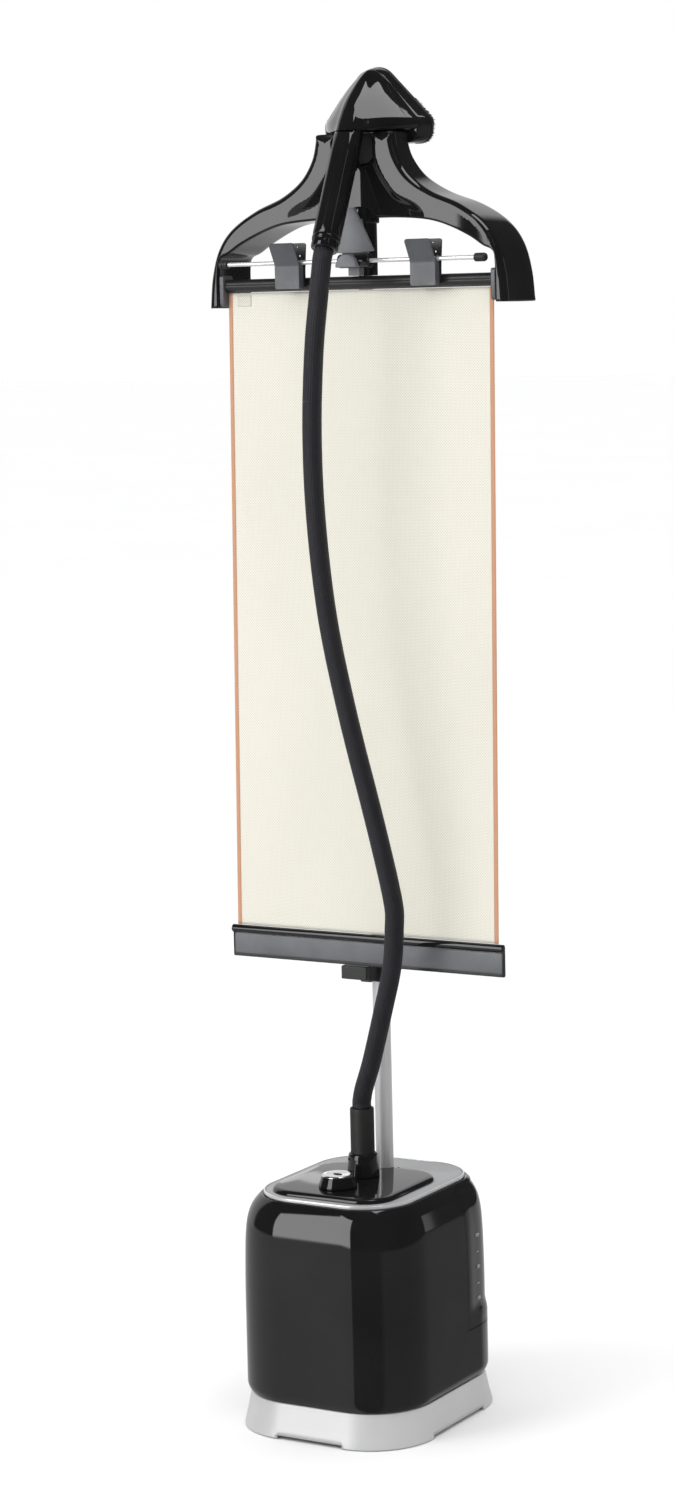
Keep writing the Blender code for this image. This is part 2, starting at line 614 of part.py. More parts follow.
def bottom_rail():
    ends = (-RAIL_HALF, SCREEN_FOOT_Y, RAIL_Z), (RAIL_HALF, SCREEN_FOOT_Y, RAIL_Z)
    cylinder("rail_bead", *ends, RAIL_R, "satin_black", 24)
    plate = (-RAIL_HALF, SCREEN_FOOT_Y - 0.0015, 0.5762), (RAIL_HALF, SCREEN_FOOT_Y + 0.0015, RAIL_Z - RAIL_R - GAP)
    box("rail_plate", *plate, "grey_plastic", 0.0006)
    for side, sign in (("left", -1), ("right", 1)):
        inner, outer = sign * (RAIL_HALF + GAP), sign * (RAIL_HALF + 0.0028)
        low, high = (min(inner, outer), SCREEN_FOOT_Y - 0.0050, 0.5762), (max(inner, outer), SCREEN_FOOT_Y + 0.0050, 0.6170)
        box(f"rail_cap_{side}", low, high, "satin_black", 0.0008)


# ---------- trouser clips ----------

def clip(side):
    """Two jaws and a spring on the trouser bar; the front jaw turns about the bar."""
    x = CLIP_X[side]
    bar = f"clip_{side}_bore"
    cut_bar = cylinder(bar, (x - 0.03, BAR_Y, BAR_Z), (x + 0.03, BAR_Y, BAR_Z), 0.0031, None, 24)
    front = [(0.0100, 1.4286), (0.0124, 1.4286), (0.0124, 1.4595), (-0.0020, 1.4850),
             (-0.0044, 1.4842), (0.0100, 1.4585)]
    jaw = flat_outline(f"clip_{side}_front_jaw", [front], 2 * CLIP_HALF, along_x(x), "grey_plastic")
    ear = [(0.0110, 1.4290), (0.0216, 1.4290), (0.0222, 1.4640), (0.0190, 1.4665), (0.0110, 1.4610)]
    for tag, offset in (("a", -CLIP_HALF + 0.0009), ("b", CLIP_HALF - 0.0009)):
        join(jaw, flat_outline(f"clip_{side}_ear_{tag}", [ear], 0.0014, along_x(x + offset), None))
    cut(jaw, cut_bar)
    rear = [(0.0228, 1.4300), (0.0250, 1.4300), (0.0252, 1.4440), (0.0285, 1.4852), (0.0263, 1.4854),
            (0.0228, 1.4600)]
    back = flat_outline(f"clip_{side}_rear_jaw", [rear], 2 * CLIP_HALF, along_x(x + 0.0010), "satin_black")
    for tag, z in (("a", 1.4690), ("b", 1.4780)):
        hole = f"clip_{side}_hole_{tag}"
        cut(back, cylinder(hole, (x - 0.006, 0.01, z), (x - 0.006, 0.04, z), 0.0014, None, 12))
    turns, pitch, steps = 5, 0.0042, 9
    coil = []
    for i in range(turns * steps + 1):
        angle = math.tau * i / steps
        along = x - 0.0105 + pitch * i / steps
        coil.append((along, BAR_Y + 0.0038 * math.cos(angle), BAR_Z + 0.0038 * math.sin(angle)))
    tube(f"clip_{side}_spring", coil, 0.0004, "steel", 1)


# ---------- steam head and hose ----------

def head_outline(y, floor, scale):
    """The head's outline at a depth: a flat foot, upright cheeks and sides that rise to the apex."""
    half, shoulder = HEAD_HALF * scale, floor + 0.0285
    apex = HEAD_APEX - 0.0110 * (1 - scale)
    corners = [(-half * 0.96, floor), (half * 0.96, floor), (half, shoulder), (0, apex + 0.0108),
               (-half, shoulder)]
    radii = [0.008, 0.008, 0.012, 0.026, 0.012]
    return [(x, y, z) for x, z in rounded_polygon(corners, radii)]


def head_slice(z, back, nose_y, nose_r):
    """A level slice of the head's front: a straight back, flat cheeks and a round nose."""
    ring = [(back, HEAD_BACK_Y + 0.0040, z), (back, HEAD_BACK_Y, z)]
    start, stop = Vector((back, HEAD_BACK_Y)), Vector((nose_r, nose_y))
    for step in (0.35, 0.70):
        x, y = start.lerp(stop, step) + Vector((0.0016, -0.0016)) * min(1.0, back / 0.04)
        ring.append((x, y, z))
    for i in range(11):
        angle = math.pi * i / 10
        ring.append((nose_r * math.cos(angle), nose_y - 1.107 * nose_r * math.sin(angle), z))
    return ring + [(-x, y, z) for x, y, z in reversed(ring[:4])]


def steam_head():
    """A wedge whose front edge carries on from the handle, on a plate that faces the back."""
    slices = [
        (HEAD_FRONT_FLOOR, 0.0600, 0.0212, 0.0170), (1.6240, 0.0655, 0.0233, 0.0170),
        (1.6335, 0.0655, 0.0278, 0.0167), (1.6420, 0.0590, 0.0320, 0.0160), (1.6500, 0.0523, 0.0362, 0.0152),
        (1.6600, 0.0438, 0.0428, 0.0140), (1.6700, 0.0353, 0.0505, 0.0120), (1.6800, 0.0262, 0.0585, 0.0095),
        (1.6870, 0.0185, 0.0640, 0.0070), (1.6925, 0.0120, 0.0690, 0.0045), (1.6955, 0.0070, 0.0720, 0.0025),
    ]
    front = loft("head_shell", [head_slice(*level) for level in slices], "gloss_black")
    block = [head_outline(y, HEAD_BACK_FLOOR, scale)
             for y, scale in ((0.0928, 0.985), (0.0840, 0.930), (HEAD_BACK_Y, 0.855))]
    join(front, loft("head_block", block, None))
    loft("brush_rim", [head_outline(y, HEAD_BACK_FLOOR, 1.0) for y in (0.0980, 0.0931)], "rubber")
    loft("soleplate", [head_outline(y, HEAD_BACK_FLOOR, scale)
                       for y, scale in ((0.1010, 0.955), (0.0983, 0.970))], "steel")


def handle_point(z):
    """Where the handle's axis is at a height; it leans forward towards its foot."""
    return Vector((0.0, 0.0212 - (HEAD_FRONT_FLOOR - 0.0005 - z) * HANDLE_LEAN, z))


def handle():
    lean = Vector((0, HANDLE_LEAN, 1)).normalized()
    across = Vector((0, 1, -HANDLE_LEAN)).normalized()
    top = handle_point(HEAD_FRONT_FLOOR - 0.0005)
    rings = []
    for turn in (None, 1.6040, 1.5500, 1.4890):
        ring = []
        for i in range(28):
            angle = math.tau * i / 28
            side = HANDLE_R * math.cos(angle) * Vector((1, 0, 0))
            if turn is None:
                ring.append(top + side + HANDLE_R * math.sin(angle) * Vector((0, 1, 0)))
            else:
                ring.append(handle_point(turn) + side + HANDLE_R * math.sin(angle) * across)
        rings.append(ring)
    loft("handle", rings, "gloss_black")
    collar = handle_point(1.4886), handle_point(1.4886) - 0.0160 * lean
    cylinder("handle_collar", collar[1], collar[0], 0.0165, "gloss_black", 28, top_radius=0.0178)


def hose():
    """One hose in two stretches: the lower one hangs from the base, the upper one from the head."""
    route = [HOSE_ROUTE[0], *smooth_curve(HOSE_ROUTE[1:-1], 3), HOSE_ROUTE[-1]]
    route = [Vector(point) for point in route]
    middle = min(range(len(route)), key=lambda i: abs(route[i].z - 1.300))
    gap = (route[middle + 1] - route[middle]).normalized() * GAP
    tube("hose_lower", route[:middle + 1], HOSE_R, "sleeve")
    tube("hose_upper", [route[middle] + gap, *route[middle + 1:]], HOSE_R, "sleeve")


def main():
    clear_scene()
    for build in (skirt, base_tray, housing, water_tank, tank_shelf, deck, platform, knob, hose_fittings,
                  internals, pole, rail_holder, hanger, centre_bracket, trouser_bar, cassette, screen,
                  bottom_rail, steam_head, handle, hose):
        build()
    for side in CLIP_X:
        clip(side)


main()
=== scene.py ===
"""Looks for an upright garment steamer with a telescopic pole, a trouser hanger and a roll-down press screen.

Units are metres. +Z is up, the front is -Y, and the origin is on the floor below the middle of the base.
"""

import json
import math

import bmesh
import bpy
import numpy as np
from mathutils import Matrix, Vector, geometry

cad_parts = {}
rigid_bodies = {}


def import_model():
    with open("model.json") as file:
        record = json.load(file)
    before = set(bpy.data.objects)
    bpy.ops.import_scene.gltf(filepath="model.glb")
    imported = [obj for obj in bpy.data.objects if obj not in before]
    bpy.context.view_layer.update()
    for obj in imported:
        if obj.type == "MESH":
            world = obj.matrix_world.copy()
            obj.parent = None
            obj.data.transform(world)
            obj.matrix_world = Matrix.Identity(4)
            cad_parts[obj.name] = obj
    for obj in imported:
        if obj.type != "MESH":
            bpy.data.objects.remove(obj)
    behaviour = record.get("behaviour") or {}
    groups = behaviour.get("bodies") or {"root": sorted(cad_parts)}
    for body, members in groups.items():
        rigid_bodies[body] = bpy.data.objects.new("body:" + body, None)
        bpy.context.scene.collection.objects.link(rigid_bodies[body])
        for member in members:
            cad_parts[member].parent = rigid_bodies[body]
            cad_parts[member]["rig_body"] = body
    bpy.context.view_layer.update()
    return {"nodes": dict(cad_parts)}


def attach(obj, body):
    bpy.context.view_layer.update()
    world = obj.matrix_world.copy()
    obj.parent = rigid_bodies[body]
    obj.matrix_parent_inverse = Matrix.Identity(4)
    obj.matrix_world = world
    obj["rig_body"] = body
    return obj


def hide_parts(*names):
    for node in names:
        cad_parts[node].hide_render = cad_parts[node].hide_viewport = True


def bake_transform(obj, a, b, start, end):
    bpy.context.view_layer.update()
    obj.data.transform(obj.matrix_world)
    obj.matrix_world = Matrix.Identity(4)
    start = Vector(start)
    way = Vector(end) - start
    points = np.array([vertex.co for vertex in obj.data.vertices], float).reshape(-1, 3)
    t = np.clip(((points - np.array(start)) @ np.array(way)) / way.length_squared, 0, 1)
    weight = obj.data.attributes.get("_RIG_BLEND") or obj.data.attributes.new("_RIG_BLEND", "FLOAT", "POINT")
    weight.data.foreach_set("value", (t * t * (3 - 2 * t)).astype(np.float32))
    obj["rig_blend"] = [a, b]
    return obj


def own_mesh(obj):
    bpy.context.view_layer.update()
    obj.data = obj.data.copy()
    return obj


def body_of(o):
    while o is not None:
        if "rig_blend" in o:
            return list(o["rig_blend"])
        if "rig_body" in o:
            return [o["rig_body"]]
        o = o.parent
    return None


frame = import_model()

SIDES = 96  # facets of a round piece
WIDE = 14  # steps in a quarter turn of a rounded outline

# base
BODY_W, BODY_D, BODY_CORNER = 0.255, 0.292, 0.08
BODY_FOOT, HOUSING_TOP, DECK_TOP = 0.0447, 0.298, 0.3024
TANK_FRONT, TANK_FLOOR, TANK_ROOF = 0.0365, 0.112, 0.2935
PLATFORM_Y, PLATFORM_TOP = -0.028, 0.309
KNOB_Y, SOCKET_Y, POLE_Y = -0.067, -0.003, 0.053
POLE = (0, POLE_Y, 0)

# hanger, bar and screen
BAR_Y, BAR_Z, BAR_R = 0.018, 1.461, 0.0027
BAR = (0, BAR_Y, BAR_Z)
CASSETTE_Y, CASSETTE_Z = 0.035, 1.4342
SCREEN_HALF, SCREEN_TOP, SCREEN_FOOT = 0.1895, 1.4255, 0.6176
SCREEN_TOP_Y, SCREEN_FOOT_Y = 0.035, 0.017
RAIL_Z, RAIL_R, RAIL_HALF = 0.6118, 0.0052, 0.195
CLIP_X = {"left": -0.0886, "right": 0.1048}
SIGNS = {"left": -1, "right": 1}

# hose and handle
HOSE_R, HANDLE_R, HANDLE_LEAN, HANDLE_TOP = 0.012, 0.017, 0.4744, 1.6192
HOSE_ROUTE = [
    (0.0, -0.003, 0.3982), (0.0, -0.003, 0.405), (0.006, -0.0072, 0.423), (0.0238, -0.016, 0.463),
    (0.0509, -0.03, 0.536), (0.0682, -0.038, 0.589), (0.0768, -0.045, 0.641),
    (0.0778, -0.05, 0.6785), (0.0592, -0.059, 0.778), (0.0309, -0.066, 0.9),
    (0.0072, -0.071, 1.023), (-0.0047, -0.074, 1.146), (-0.0074, -0.074, 1.256),
    (-0.0042, -0.07, 1.354), (-0.0008, -0.062, 1.418), (0.0, -0.0523, 1.4646),
    (0.0, -0.048, 1.4736),
]


def new_object(name, data):
    thing = bpy.data.objects.new(name, data)
    bpy.context.scene.collection.objects.link(thing)
    return thing


# ---------- camera ----------

def camera():
    """The photograph's view: from the front right, at chest height, looking a little down."""
    turn, pitch, roll = 0.531728, 0.122956, -0.0233391
    distance, height, shift = 4.41862, 1.400435, -0.0224458
    right = Vector((math.cos(turn), math.sin(turn), 0))
    place = Vector((distance * math.sin(turn), -distance * math.cos(turn), height)) + right * shift
    ahead = Vector((-math.sin(turn) * math.cos(pitch), math.cos(turn) * math.cos(pitch), -math.sin(pitch)))
    up = right.cross(ahead)
    across = right * math.cos(roll) + up * math.sin(roll)
    above = -right * math.sin(roll) + up * math.cos(roll)
    data = bpy.data.cameras.new("camera")
    data.sensor_fit = "VERTICAL"
    data.sensor_width = data.sensor_height = 36
    data.lens = 85.277
    eye = new_object("camera", data)
    eye.matrix_world = Matrix.Translation(place) @ Matrix((across, above, -ahead)).transposed().to_4x4()
    bpy.context.scene.camera = eye


# ---------- material graphs ----------

class Graph:
    """A node tree with short calls for the nodes used here."""

    def __init__(self, tree):
        self.tree = tree

    def add(self, kind, *values, **settings):
        node = self.tree.nodes.new(kind)
        for key, value in settings.items():
            setattr(node, key, value)
        for socket, value in zip(node.inputs, values):
            self.feed(socket, value)
        return node

    def feed(self, socket, value):
        if isinstance(value, bpy.types.NodeSocket):
            self.tree.links.new(value, socket)
        elif value is not None:
            socket.default_value = value

    def math(self, operation, *values):
        return self.add("ShaderNodeMath", *values, operation=operation).outputs[0]

    def noise(self, place, scale, detail=3.0):
        return self.add("ShaderNodeTexNoise", place, None, scale, detail).outputs["Fac"]

    def ramp(self, value, low, high, start=0.0, end=1.0, smooth=False):
        """The value's range low..high carried over to start..end."""
        kind = "SMOOTHSTEP" if smooth else "LINEAR"
        return self.add("ShaderNodeMapRange", value, low, high, start, end, interpolation_type=kind).outputs[0]

    def mix(self, share, one, other):
        node = self.add("ShaderNodeMix", data_type="RGBA")
        inputs = [socket for socket in node.inputs if socket.enabled]
        for socket, item in zip(inputs, (share, one, other)):
            self.feed(socket, (*item, 1.0) if isinstance(item, tuple) else item)
        return [socket for socket in node.outputs if socket.enabled][0]

    def bump(self, height, distance, strength):
        node = self.add("ShaderNodeBump", strength, distance)
        self.feed(node.inputs["Height"], height)
        return node.outputs[0]

    def dress(self, **inputs):
        """Set or feed sockets of the Principled shader by name."""
        shader = self.tree.nodes["Principled BSDF"]
        for key, value in inputs.items():
            self.feed(shader.inputs[key.replace("_", " ")], value)

    def stretched(self, factors=(1, 1, 1)):
        """Object coordinates with each axis scaled."""
        place = self.add("ShaderNodeTexCoord").outputs["Object"]
        node = self.add("ShaderNodeMapping")
        self.feed(node.inputs["Vector"], place)
        self.feed(node.inputs["Scale"], factors)
        return node.outputs[0]


def new_material(name, **plain):
    """A Principled material and its graph; plain names sockets set to one value."""
    material = bpy.data.materials.new(name)
    material.use_nodes = True
    graph = Graph(material.node_tree)
    graph.dress(**plain)
    return material, graph


def tinted(colour, factor):
    return tuple(factor * c for c in colour)


def moulded(name, colour, rough, grain, depth):
    """Moulded plastic or rubber: slight mottling, uneven gloss and a fine grain."""
    material, graph = new_material(name)
    place = graph.stretched()
    mottle = graph.ramp(graph.noise(place, 22.0, 4.0), 0.3, 0.7)
    graph.dress(Base_Color=graph.mix(mottle, tinted(colour, 0.82), tinted(colour, 1.15)),
                Roughness=graph.ramp(graph.noise(place, 60.0, 5.0), 0.3, 0.7, *rough),
                Normal=graph.bump(graph.noise(place, grain, 2.0), depth, 0.6))
    return material


def lacquered(name, colour, rough):
    """High-gloss black: a clear surface with a very faint orange peel and hazy patches."""
    material, graph = new_material(name, IOR=1.5)
    place = graph.stretched()
    haze = graph.noise(place, 9.0, 5.0)
    graph.dress(Base_Color=graph.mix(graph.ramp(haze, 0.35, 0.7), colour, tinted(colour, 1.6)),
                Roughness=graph.ramp(haze, 0.35, 0.75, *rough),
                Normal=graph.bump(graph.noise(place, 120.0, 1.0), 0.00003, 0.2))
    return material


def painted(name, colour, metallic, rough):
    """Metallic paint with a fine flake; the flakes are lighter specks, partly their own tone and partly a painted
    glint.
    """
    material, graph = new_material(name, Metallic=metallic)
    place = graph.stretched()
    flake = graph.add("ShaderNodeTexVoronoi", place, None, 2600.0)
    flake_glint = graph.ramp(flake.outputs["Distance"], 0.0, 0.9, 1.0, 0.0)
    cloud = graph.noise(place, 14.0, 3.0)
    base = graph.mix(graph.ramp(cloud, 0.3, 0.7), tinted(colour, 0.95), colour)
    # The flakes are made lighter: partly their own tone, partly a painted glint.
    graph.dress(Base_Color=graph.mix(graph.ramp(flake_glint, 0.55, 1.0), base, tinted(colour, 1.16)),
                Roughness=graph.ramp(cloud, 0.3, 0.7, rough - 0.03, rough + 0.04),
                Normal=graph.bump(flake_glint, 0.00002, 0.25))
    return material


def metal(name, colour, rough, stretch, anisotropic=0.0, metallic=1.0):
    """Bare or satin metal with fine lines along the axis whose stretch is small."""
    material, graph = new_material(name, Metallic=metallic, Anisotropic=anisotropic)
    lines = graph.noise(graph.stretched(stretch), 1.0, 4.0)
    soft = graph.noise(graph.stretched(), 16.0, 3.0)
    tone = graph.math("ADD", graph.math("MULTIPLY", lines, 0.7), graph.math("MULTIPLY", soft, 0.3))
    graph.dress(Base_Color=graph.mix(graph.ramp(lines, 0.3, 0.7), tinted(colour, 0.9), colour),
                Roughness=graph.ramp(tone, 0.3, 0.7, *rough), Normal=graph.bump(lines, 0.00002, 0.2))
    return material


def woven(name, light, shade, pitch, depth, mesh=1.0, cover=1.0):
    """A plain weave in X and Z: threads that pass over and under each other, with painted shade in the pits between
    them.
    """
    material, graph = new_material(name, Roughness=0.85, Sheen_Weight=0.15, Sheen_Roughness=0.5, Alpha=cover)
    place = graph.add("ShaderNodeSeparateXYZ", graph.add("ShaderNodeTexCoord").outputs["Object"])
    wobble = graph.math("MULTIPLY", graph.noise(graph.stretched(), 40.0, 3.0), 0.9)
    turns = [graph.math("MULTIPLY", place.outputs[axis], math.tau / pitch) for axis in (0, 2)]
    over = graph.math("MULTIPLY", *(graph.math("SINE", graph.math("ADD", turn, wobble)) for turn in turns))
    # The low pits of the weave get the darker shade colour: painted shade between the threads.
    shaded_pits = graph.ramp(over, -0.1, 0.9, 0.0, mesh, smooth=True)
    cloudy = graph.ramp(graph.noise(graph.stretched((1, 1, 0.4)), 7.0, 4.0), 0.3, 0.7)
    threads = graph.ramp(graph.math("ABSOLUTE", over), 0.0, 1.0, 1.0, 0.0)
    graph.dress(Base_Color=graph.mix(shaded_pits, graph.mix(cloudy, light, tinted(light, 0.955)), shade),
                Normal=graph.bump(threads, depth, 0.7))
    return material


def braided(name, dark, light):
    """A braided sleeve, laid out along the hose by its UV map (turns round it, metres along it), painted lighter
    where the strands stand up and darker where they sink.
    """
    material, graph = new_material(name, Sheen_Weight=0.08, Sheen_Roughness=0.4)
    place = graph.add("ShaderNodeSeparateXYZ", graph.add("ShaderNodeTexCoord").outputs["UV"])
    around = graph.math("MULTIPLY", place.outputs[0], math.tau * 24)
    along = graph.math("MULTIPLY", place.outputs[1], math.tau / 0.0042)
    strands = (graph.math("SINE", graph.math(way, around, along)) for way in ("ADD", "SUBTRACT"))
    plait = graph.ramp(graph.math("MULTIPLY", *strands), -1.0, 1.0)
    patchy = graph.ramp(graph.noise(graph.stretched(), 70.0, 4.0), 0.3, 0.7, 0.6, 1.0)
    # Colour follows the braid's height, as the bump does: painted light on the raised strands, painted shade between
    # them.
    graph.dress(Base_Color=graph.mix(graph.math("MULTIPLY", plait, patchy), dark, light),
                Roughness=graph.ramp(plait, 0.0, 1.0, 0.72, 0.52), Normal=graph.bump(plait, 0.00025, 0.8))
    return material


def circuit(name, board, track):
    """A printed board with paler tracks."""
    material, graph = new_material(name, Roughness=0.4)
    cells = graph.add("ShaderNodeTexVoronoi", graph.stretched(), None, 260.0, distance="MANHATTAN")
    graph.dress(Base_Color=graph.mix(graph.ramp(cells.outputs["Distance"], 0.25, 0.35), board, track))
    return material


FINISHES = {
    lacquered: {
        "gloss_black": ((0.0065, 0.0063, 0.0068), (0.035, 0.075)),
        "smoked": ((0.0075, 0.007, 0.0068), (0.025, 0.06)),
    },
    moulded: {
        "satin_black": ((0.016, 0.016, 0.017), (0.3, 0.42), 1500.0, 0.00006),
        "rail_grey": ((0.118, 0.121, 0.13), (0.28, 0.4), 1300.0, 0.00004),
        "satin_grey": ((0.15, 0.154, 0.164), (0.34, 0.46), 1100.0, 0.00003),
        "grey_plastic": ((0.075, 0.078, 0.085), (0.26, 0.38), 1300.0, 0.00006),
        "rubber": ((0.014, 0.0135, 0.013), (0.5, 0.62), 1800.0, 0.00008),
        "white_nylon": ((0.66, 0.66, 0.64), (0.45, 0.6), 900.0, 0.00005),
        "print": ((0.42, 0.42, 0.43), (0.4, 0.5), 900.0, 0.00002),
        # Near-black: the seams, and also the painted shade of holes, slots and the head's cradle.
        "seam": ((0.004, 0.004, 0.004), (0.6, 0.7), 900.0, 0.00002),
    },
    painted: {
        "deck_grey": ((0.33, 0.335, 0.345), 0.12, 0.3),
        "silver_paint": ((0.56, 0.56, 0.565), 0.12, 0.38),
    },
    metal: {
        "chrome": ((0.84, 0.84, 0.85), (0.1, 0.18), (160, 160, 160)),
        "bright": ((0.8, 0.8, 0.81), (0.16, 0.24), (20, 800, 800), 0.0, 0.55),
        "aluminium": ((0.7, 0.7, 0.71), (0.26, 0.36), (1400, 1400, 9), 0.4, 0.5),
        "steel": ((0.58, 0.58, 0.59), (0.2, 0.32), (30, 700, 700)),
        "copper": ((0.7, 0.33, 0.18), (0.25, 0.4), (90, 90, 90)),
    },
    woven: {
        "cloth": ((0.87, 0.845, 0.755), (0.62, 0.59, 0.5), 0.0036, 0.0004, 0.9, 0.9),
        "patch": ((0.8, 0.775, 0.68), (0.36, 0.34, 0.28), 0.0032, 0.0005),
        "tape": ((0.62, 0.33, 0.2), (0.46, 0.23, 0.13), 0.0016, 0.0002),
    },
    braided: {"sleeve": ((0.005, 0.005, 0.0075), (0.017, 0.017, 0.024))},
    circuit: {"board": ((0.02, 0.13, 0.06), (0.1, 0.3, 0.14))},
}
MATERIALS = {name: maker(name, *values) for maker, rows in FINISHES.items() for name, values in rows.items()}


# ---------- mesh helpers ----------

DETAIL = {"replaced": False, "slot": ""}  # a fine line or mark that stands for no CAD node and has no slot


def place(name, mesh, finish, node, replaced=True, slot=None, ride=True):
    """Make an object of a mesh, dress it, and let it ride with a CAD node's body."""
    thing = new_object(name, mesh)
    mesh.materials.append(MATERIALS[finish])
    if ride:
        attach(thing, body_of(frame["nodes"][node])[0])
    if replaced:
        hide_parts(node)
    return thing


def solid(name, bm, smooth=True, sharp=None):
    bmesh.ops.recalc_face_normals(bm, faces=bm.faces)
    mesh = bpy.data.meshes.new(name)
    bm.to_mesh(mesh)
    bm.free()
    if smooth:
        mesh.shade_smooth()
        if sharp:
            mesh.set_sharp_from_angle(angle=math.radians(sharp))
    return mesh


def bevel(thing, width, segments=3, angle=35):
    rounder = thing.modifiers.new("soften", "BEVEL")
    rounder.width = width
    rounder.segments = segments
    rounder.limit_method = "ANGLE"
    rounder.angle_limit = math.radians(angle)
    rounder.harden_normals = True
    return thing


def wall(thing, thickness, offset, even_width=False):
    """Give a single skin its thickness."""
    sheet = thing.modifiers.new("wall", "SOLIDIFY")
    sheet.thickness, sheet.offset, sheet.use_even_offset = thickness, offset, even_width


def settle(thing):
    """Apply the modifiers now."""
    graph = bpy.context.evaluated_depsgraph_get()
    mesh = bpy.data.meshes.new_from_object(thing.evaluated_get(graph))
    thing.modifiers.clear()
    old, thing.data = thing.data, mesh
    name = old.name
    bpy.data.meshes.remove(old)
    mesh.name = name


def cut(thing, shapes):
    """Apply the modifiers, and take shapes away from the piece."""
    tools = []
    for shape in shapes:
        tools.append(new_object("tool", solid("tool", shape, smooth=False)))
        opening = thing.modifiers.new("opening", "BOOLEAN")
        opening.operation, opening.object, opening.solver = "DIFFERENCE", tools[-1], "EXACT"
    settle(thing)
    for tool in tools:
        bpy.data.objects.remove(tool)


def eased(points, radius, steps=4, closed=False):
    """A line whose corners are replaced by small curves."""
    points = [Vector(p) for p in points]
    count = len(points)
    result = [] if closed else [points[0]]
    for i in range(0 if closed else 1, count if closed else count - 1):
        before, here, after = points[i - 1], points[i], points[(i + 1) % count]
        reach_a = min(radius, (before - here).length * 0.48)
        reach_b = min(radius, (after - here).length * 0.48)
        a = here + (before - here).normalized() * reach_a
        b = here + (after - here).normalized() * reach_b
        for step in range(steps + 1):
            t = step / steps
            result.append(a * (1 - t) ** 2 + here * 2 * t * (1 - t) + b * t * t)
    return result if closed else [*result, points[-1]]


def smooth_curve(points, steps):
    """A Catmull-Rom curve through the points, with the given number of steps between two."""
    points = [Vector(p) for p in points]
    ends = [2 * points[0] - points[1], *points, 2 * points[-1] - points[-2]]
    curve = []
    for a, b, c, d in zip(ends, ends[1:], ends[2:], ends[3:]):
        for step in range(steps):
            t = step / steps
            near = 2 * b + (c - a) * t
            far = (2 * a - 5 * b + 4 * c - d) * t * t + (3 * b - a - 3 * c + d) * t ** 3
            curve.append((near + far) / 2)
    return [*curve, points[-1]]


def rounded_rectangle(width, depth, corner, z, middle_y=0.0, steps=WIDE):
    points = []
    for side_x, side_y, start in ((1, 1, 0), (-1, 1, 90), (-1, -1, 180), (1, -1, 270)):
        for step in range(steps + 1):
            angle = math.radians(start + 90 * step / steps)
            x = side_x * (width / 2 - corner) + corner * math.cos(angle)
            y = side_y * (depth / 2 - corner) + corner * math.sin(angle)
            points.append((x, middle_y + y, z))
    return points


def join(bm, rows, around=True):
    """Faces between neighbouring rows of vertices, where a row is a ring or an open line."""
    for one, other in zip(rows, rows[1:]):
        for i in range(len(one) if around else len(one) - 1):
            j = (i + 1) % len(one)
            bm.faces.new((one[i], one[j], other[j], other[i]))


def open_skin(bm, lines):
    """Join open lines with equal numbers of points into one skin."""
    join(bm, [[bm.verts.new(point) for point in line] for line in lines], around=False)


def skin(bm, rings, closed=False, caps=(False, False)):
    """Join outlines with equal numbers of points into one skin."""
    loops = [[bm.verts.new(point) for point in outline] for outline in rings]
    join(bm, loops + loops[:1] if closed else loops)
    if caps[0]:
        bm.faces.new(list(reversed(loops[0])))
    if caps[1]:
        bm.faces.new(loops[-1])
    return loops


def heights(low, high, count):
    return [low + (high - low) * i / count for i in range(count + 1)]


def smoothstep(value, low, high):
    t = min(1.0, max(0.0, (value - low) / (high - low)))
    return t * t * (3 - 2 * t)


def travel(points):
    """The distance along a line of each of its points."""
    lengths = [0.0]
    for a, b in zip(points, points[1:]):
        lengths.append(lengths[-1] + (b - a).length)
    return lengths


def circle(count):
    """Points of a circle of radius 1."""
    return [(math.cos(math.tau * i / count), math.sin(math.tau * i / count)) for i in range(count)]


def loft(name, rings, finish, node, closed=False, sharp=50, smooth=True, **more):
    """A piece of outlines joined one to the next: capped at both ends, or closed into a loop."""
    bm = bmesh.new()
    skin(bm, rings, closed=closed, caps=(not closed, not closed))
    return place(name, solid(name, bm, smooth, sharp), finish, node, **more)


def lathe(name, profile, centre, finish, node, axis="Z", ease=0.0, ring=False, sides=SIDES, lean=None, **more):
    """A profile of (radius, height) points turned about Z, X or the direction lean; radii of 0 close the ends."""
    if ease:
        profile = eased(profile, ease, closed=ring)
    bm = bmesh.new()
    skin(bm, [[(radius * c, radius * s, height) for c, s in circle(sides)] for radius, height in profile],
         closed=ring)
    bmesh.ops.remove_doubles(bm, verts=bm.verts, dist=0.000001)
    spin = Matrix.Rotation(math.pi / 2 if axis == "X" else 0, 4, "Y")
    if lean:
        spin = lean.to_track_quat("Z", "Y").to_matrix().to_4x4()
    bmesh.ops.transform(bm, matrix=Matrix.Translation(centre) @ spin, verts=bm.verts)
    return place(name, solid(name, bm, sharp=50), finish, node, **more)


def stack(name, size, profile, finish, node, middle_y=0.0, ease=0.001, ring=False, **more):
    """Rounded rectangles one above the other; the profile gives (inset, height)."""
    width, depth, corner = size
    rings = [rounded_rectangle(width - 2 * inset, depth - 2 * inset, corner - inset, z, middle_y)
             for inset, z in eased(profile, ease, closed=ring)]
    return loft(name, rings, finish, node, ring, **more)


def block(bm, low, high):
    low, high = Vector(low), Vector(high)
    made = bmesh.ops.create_cube(bm, size=1.0)["verts"]
    bmesh.ops.scale(bm, vec=high - low, verts=made)
    bmesh.ops.translate(bm, vec=(low + high) / 2, verts=made)


def prism(bm, outline, low, high, to_space):
    """A flat outline between two depths; to_space turns (u, v, depth) into (x, y, z)."""
    skin(bm, [[to_space(u, v, depth) for u, v in outline] for depth in (low, high)], caps=(True, True))


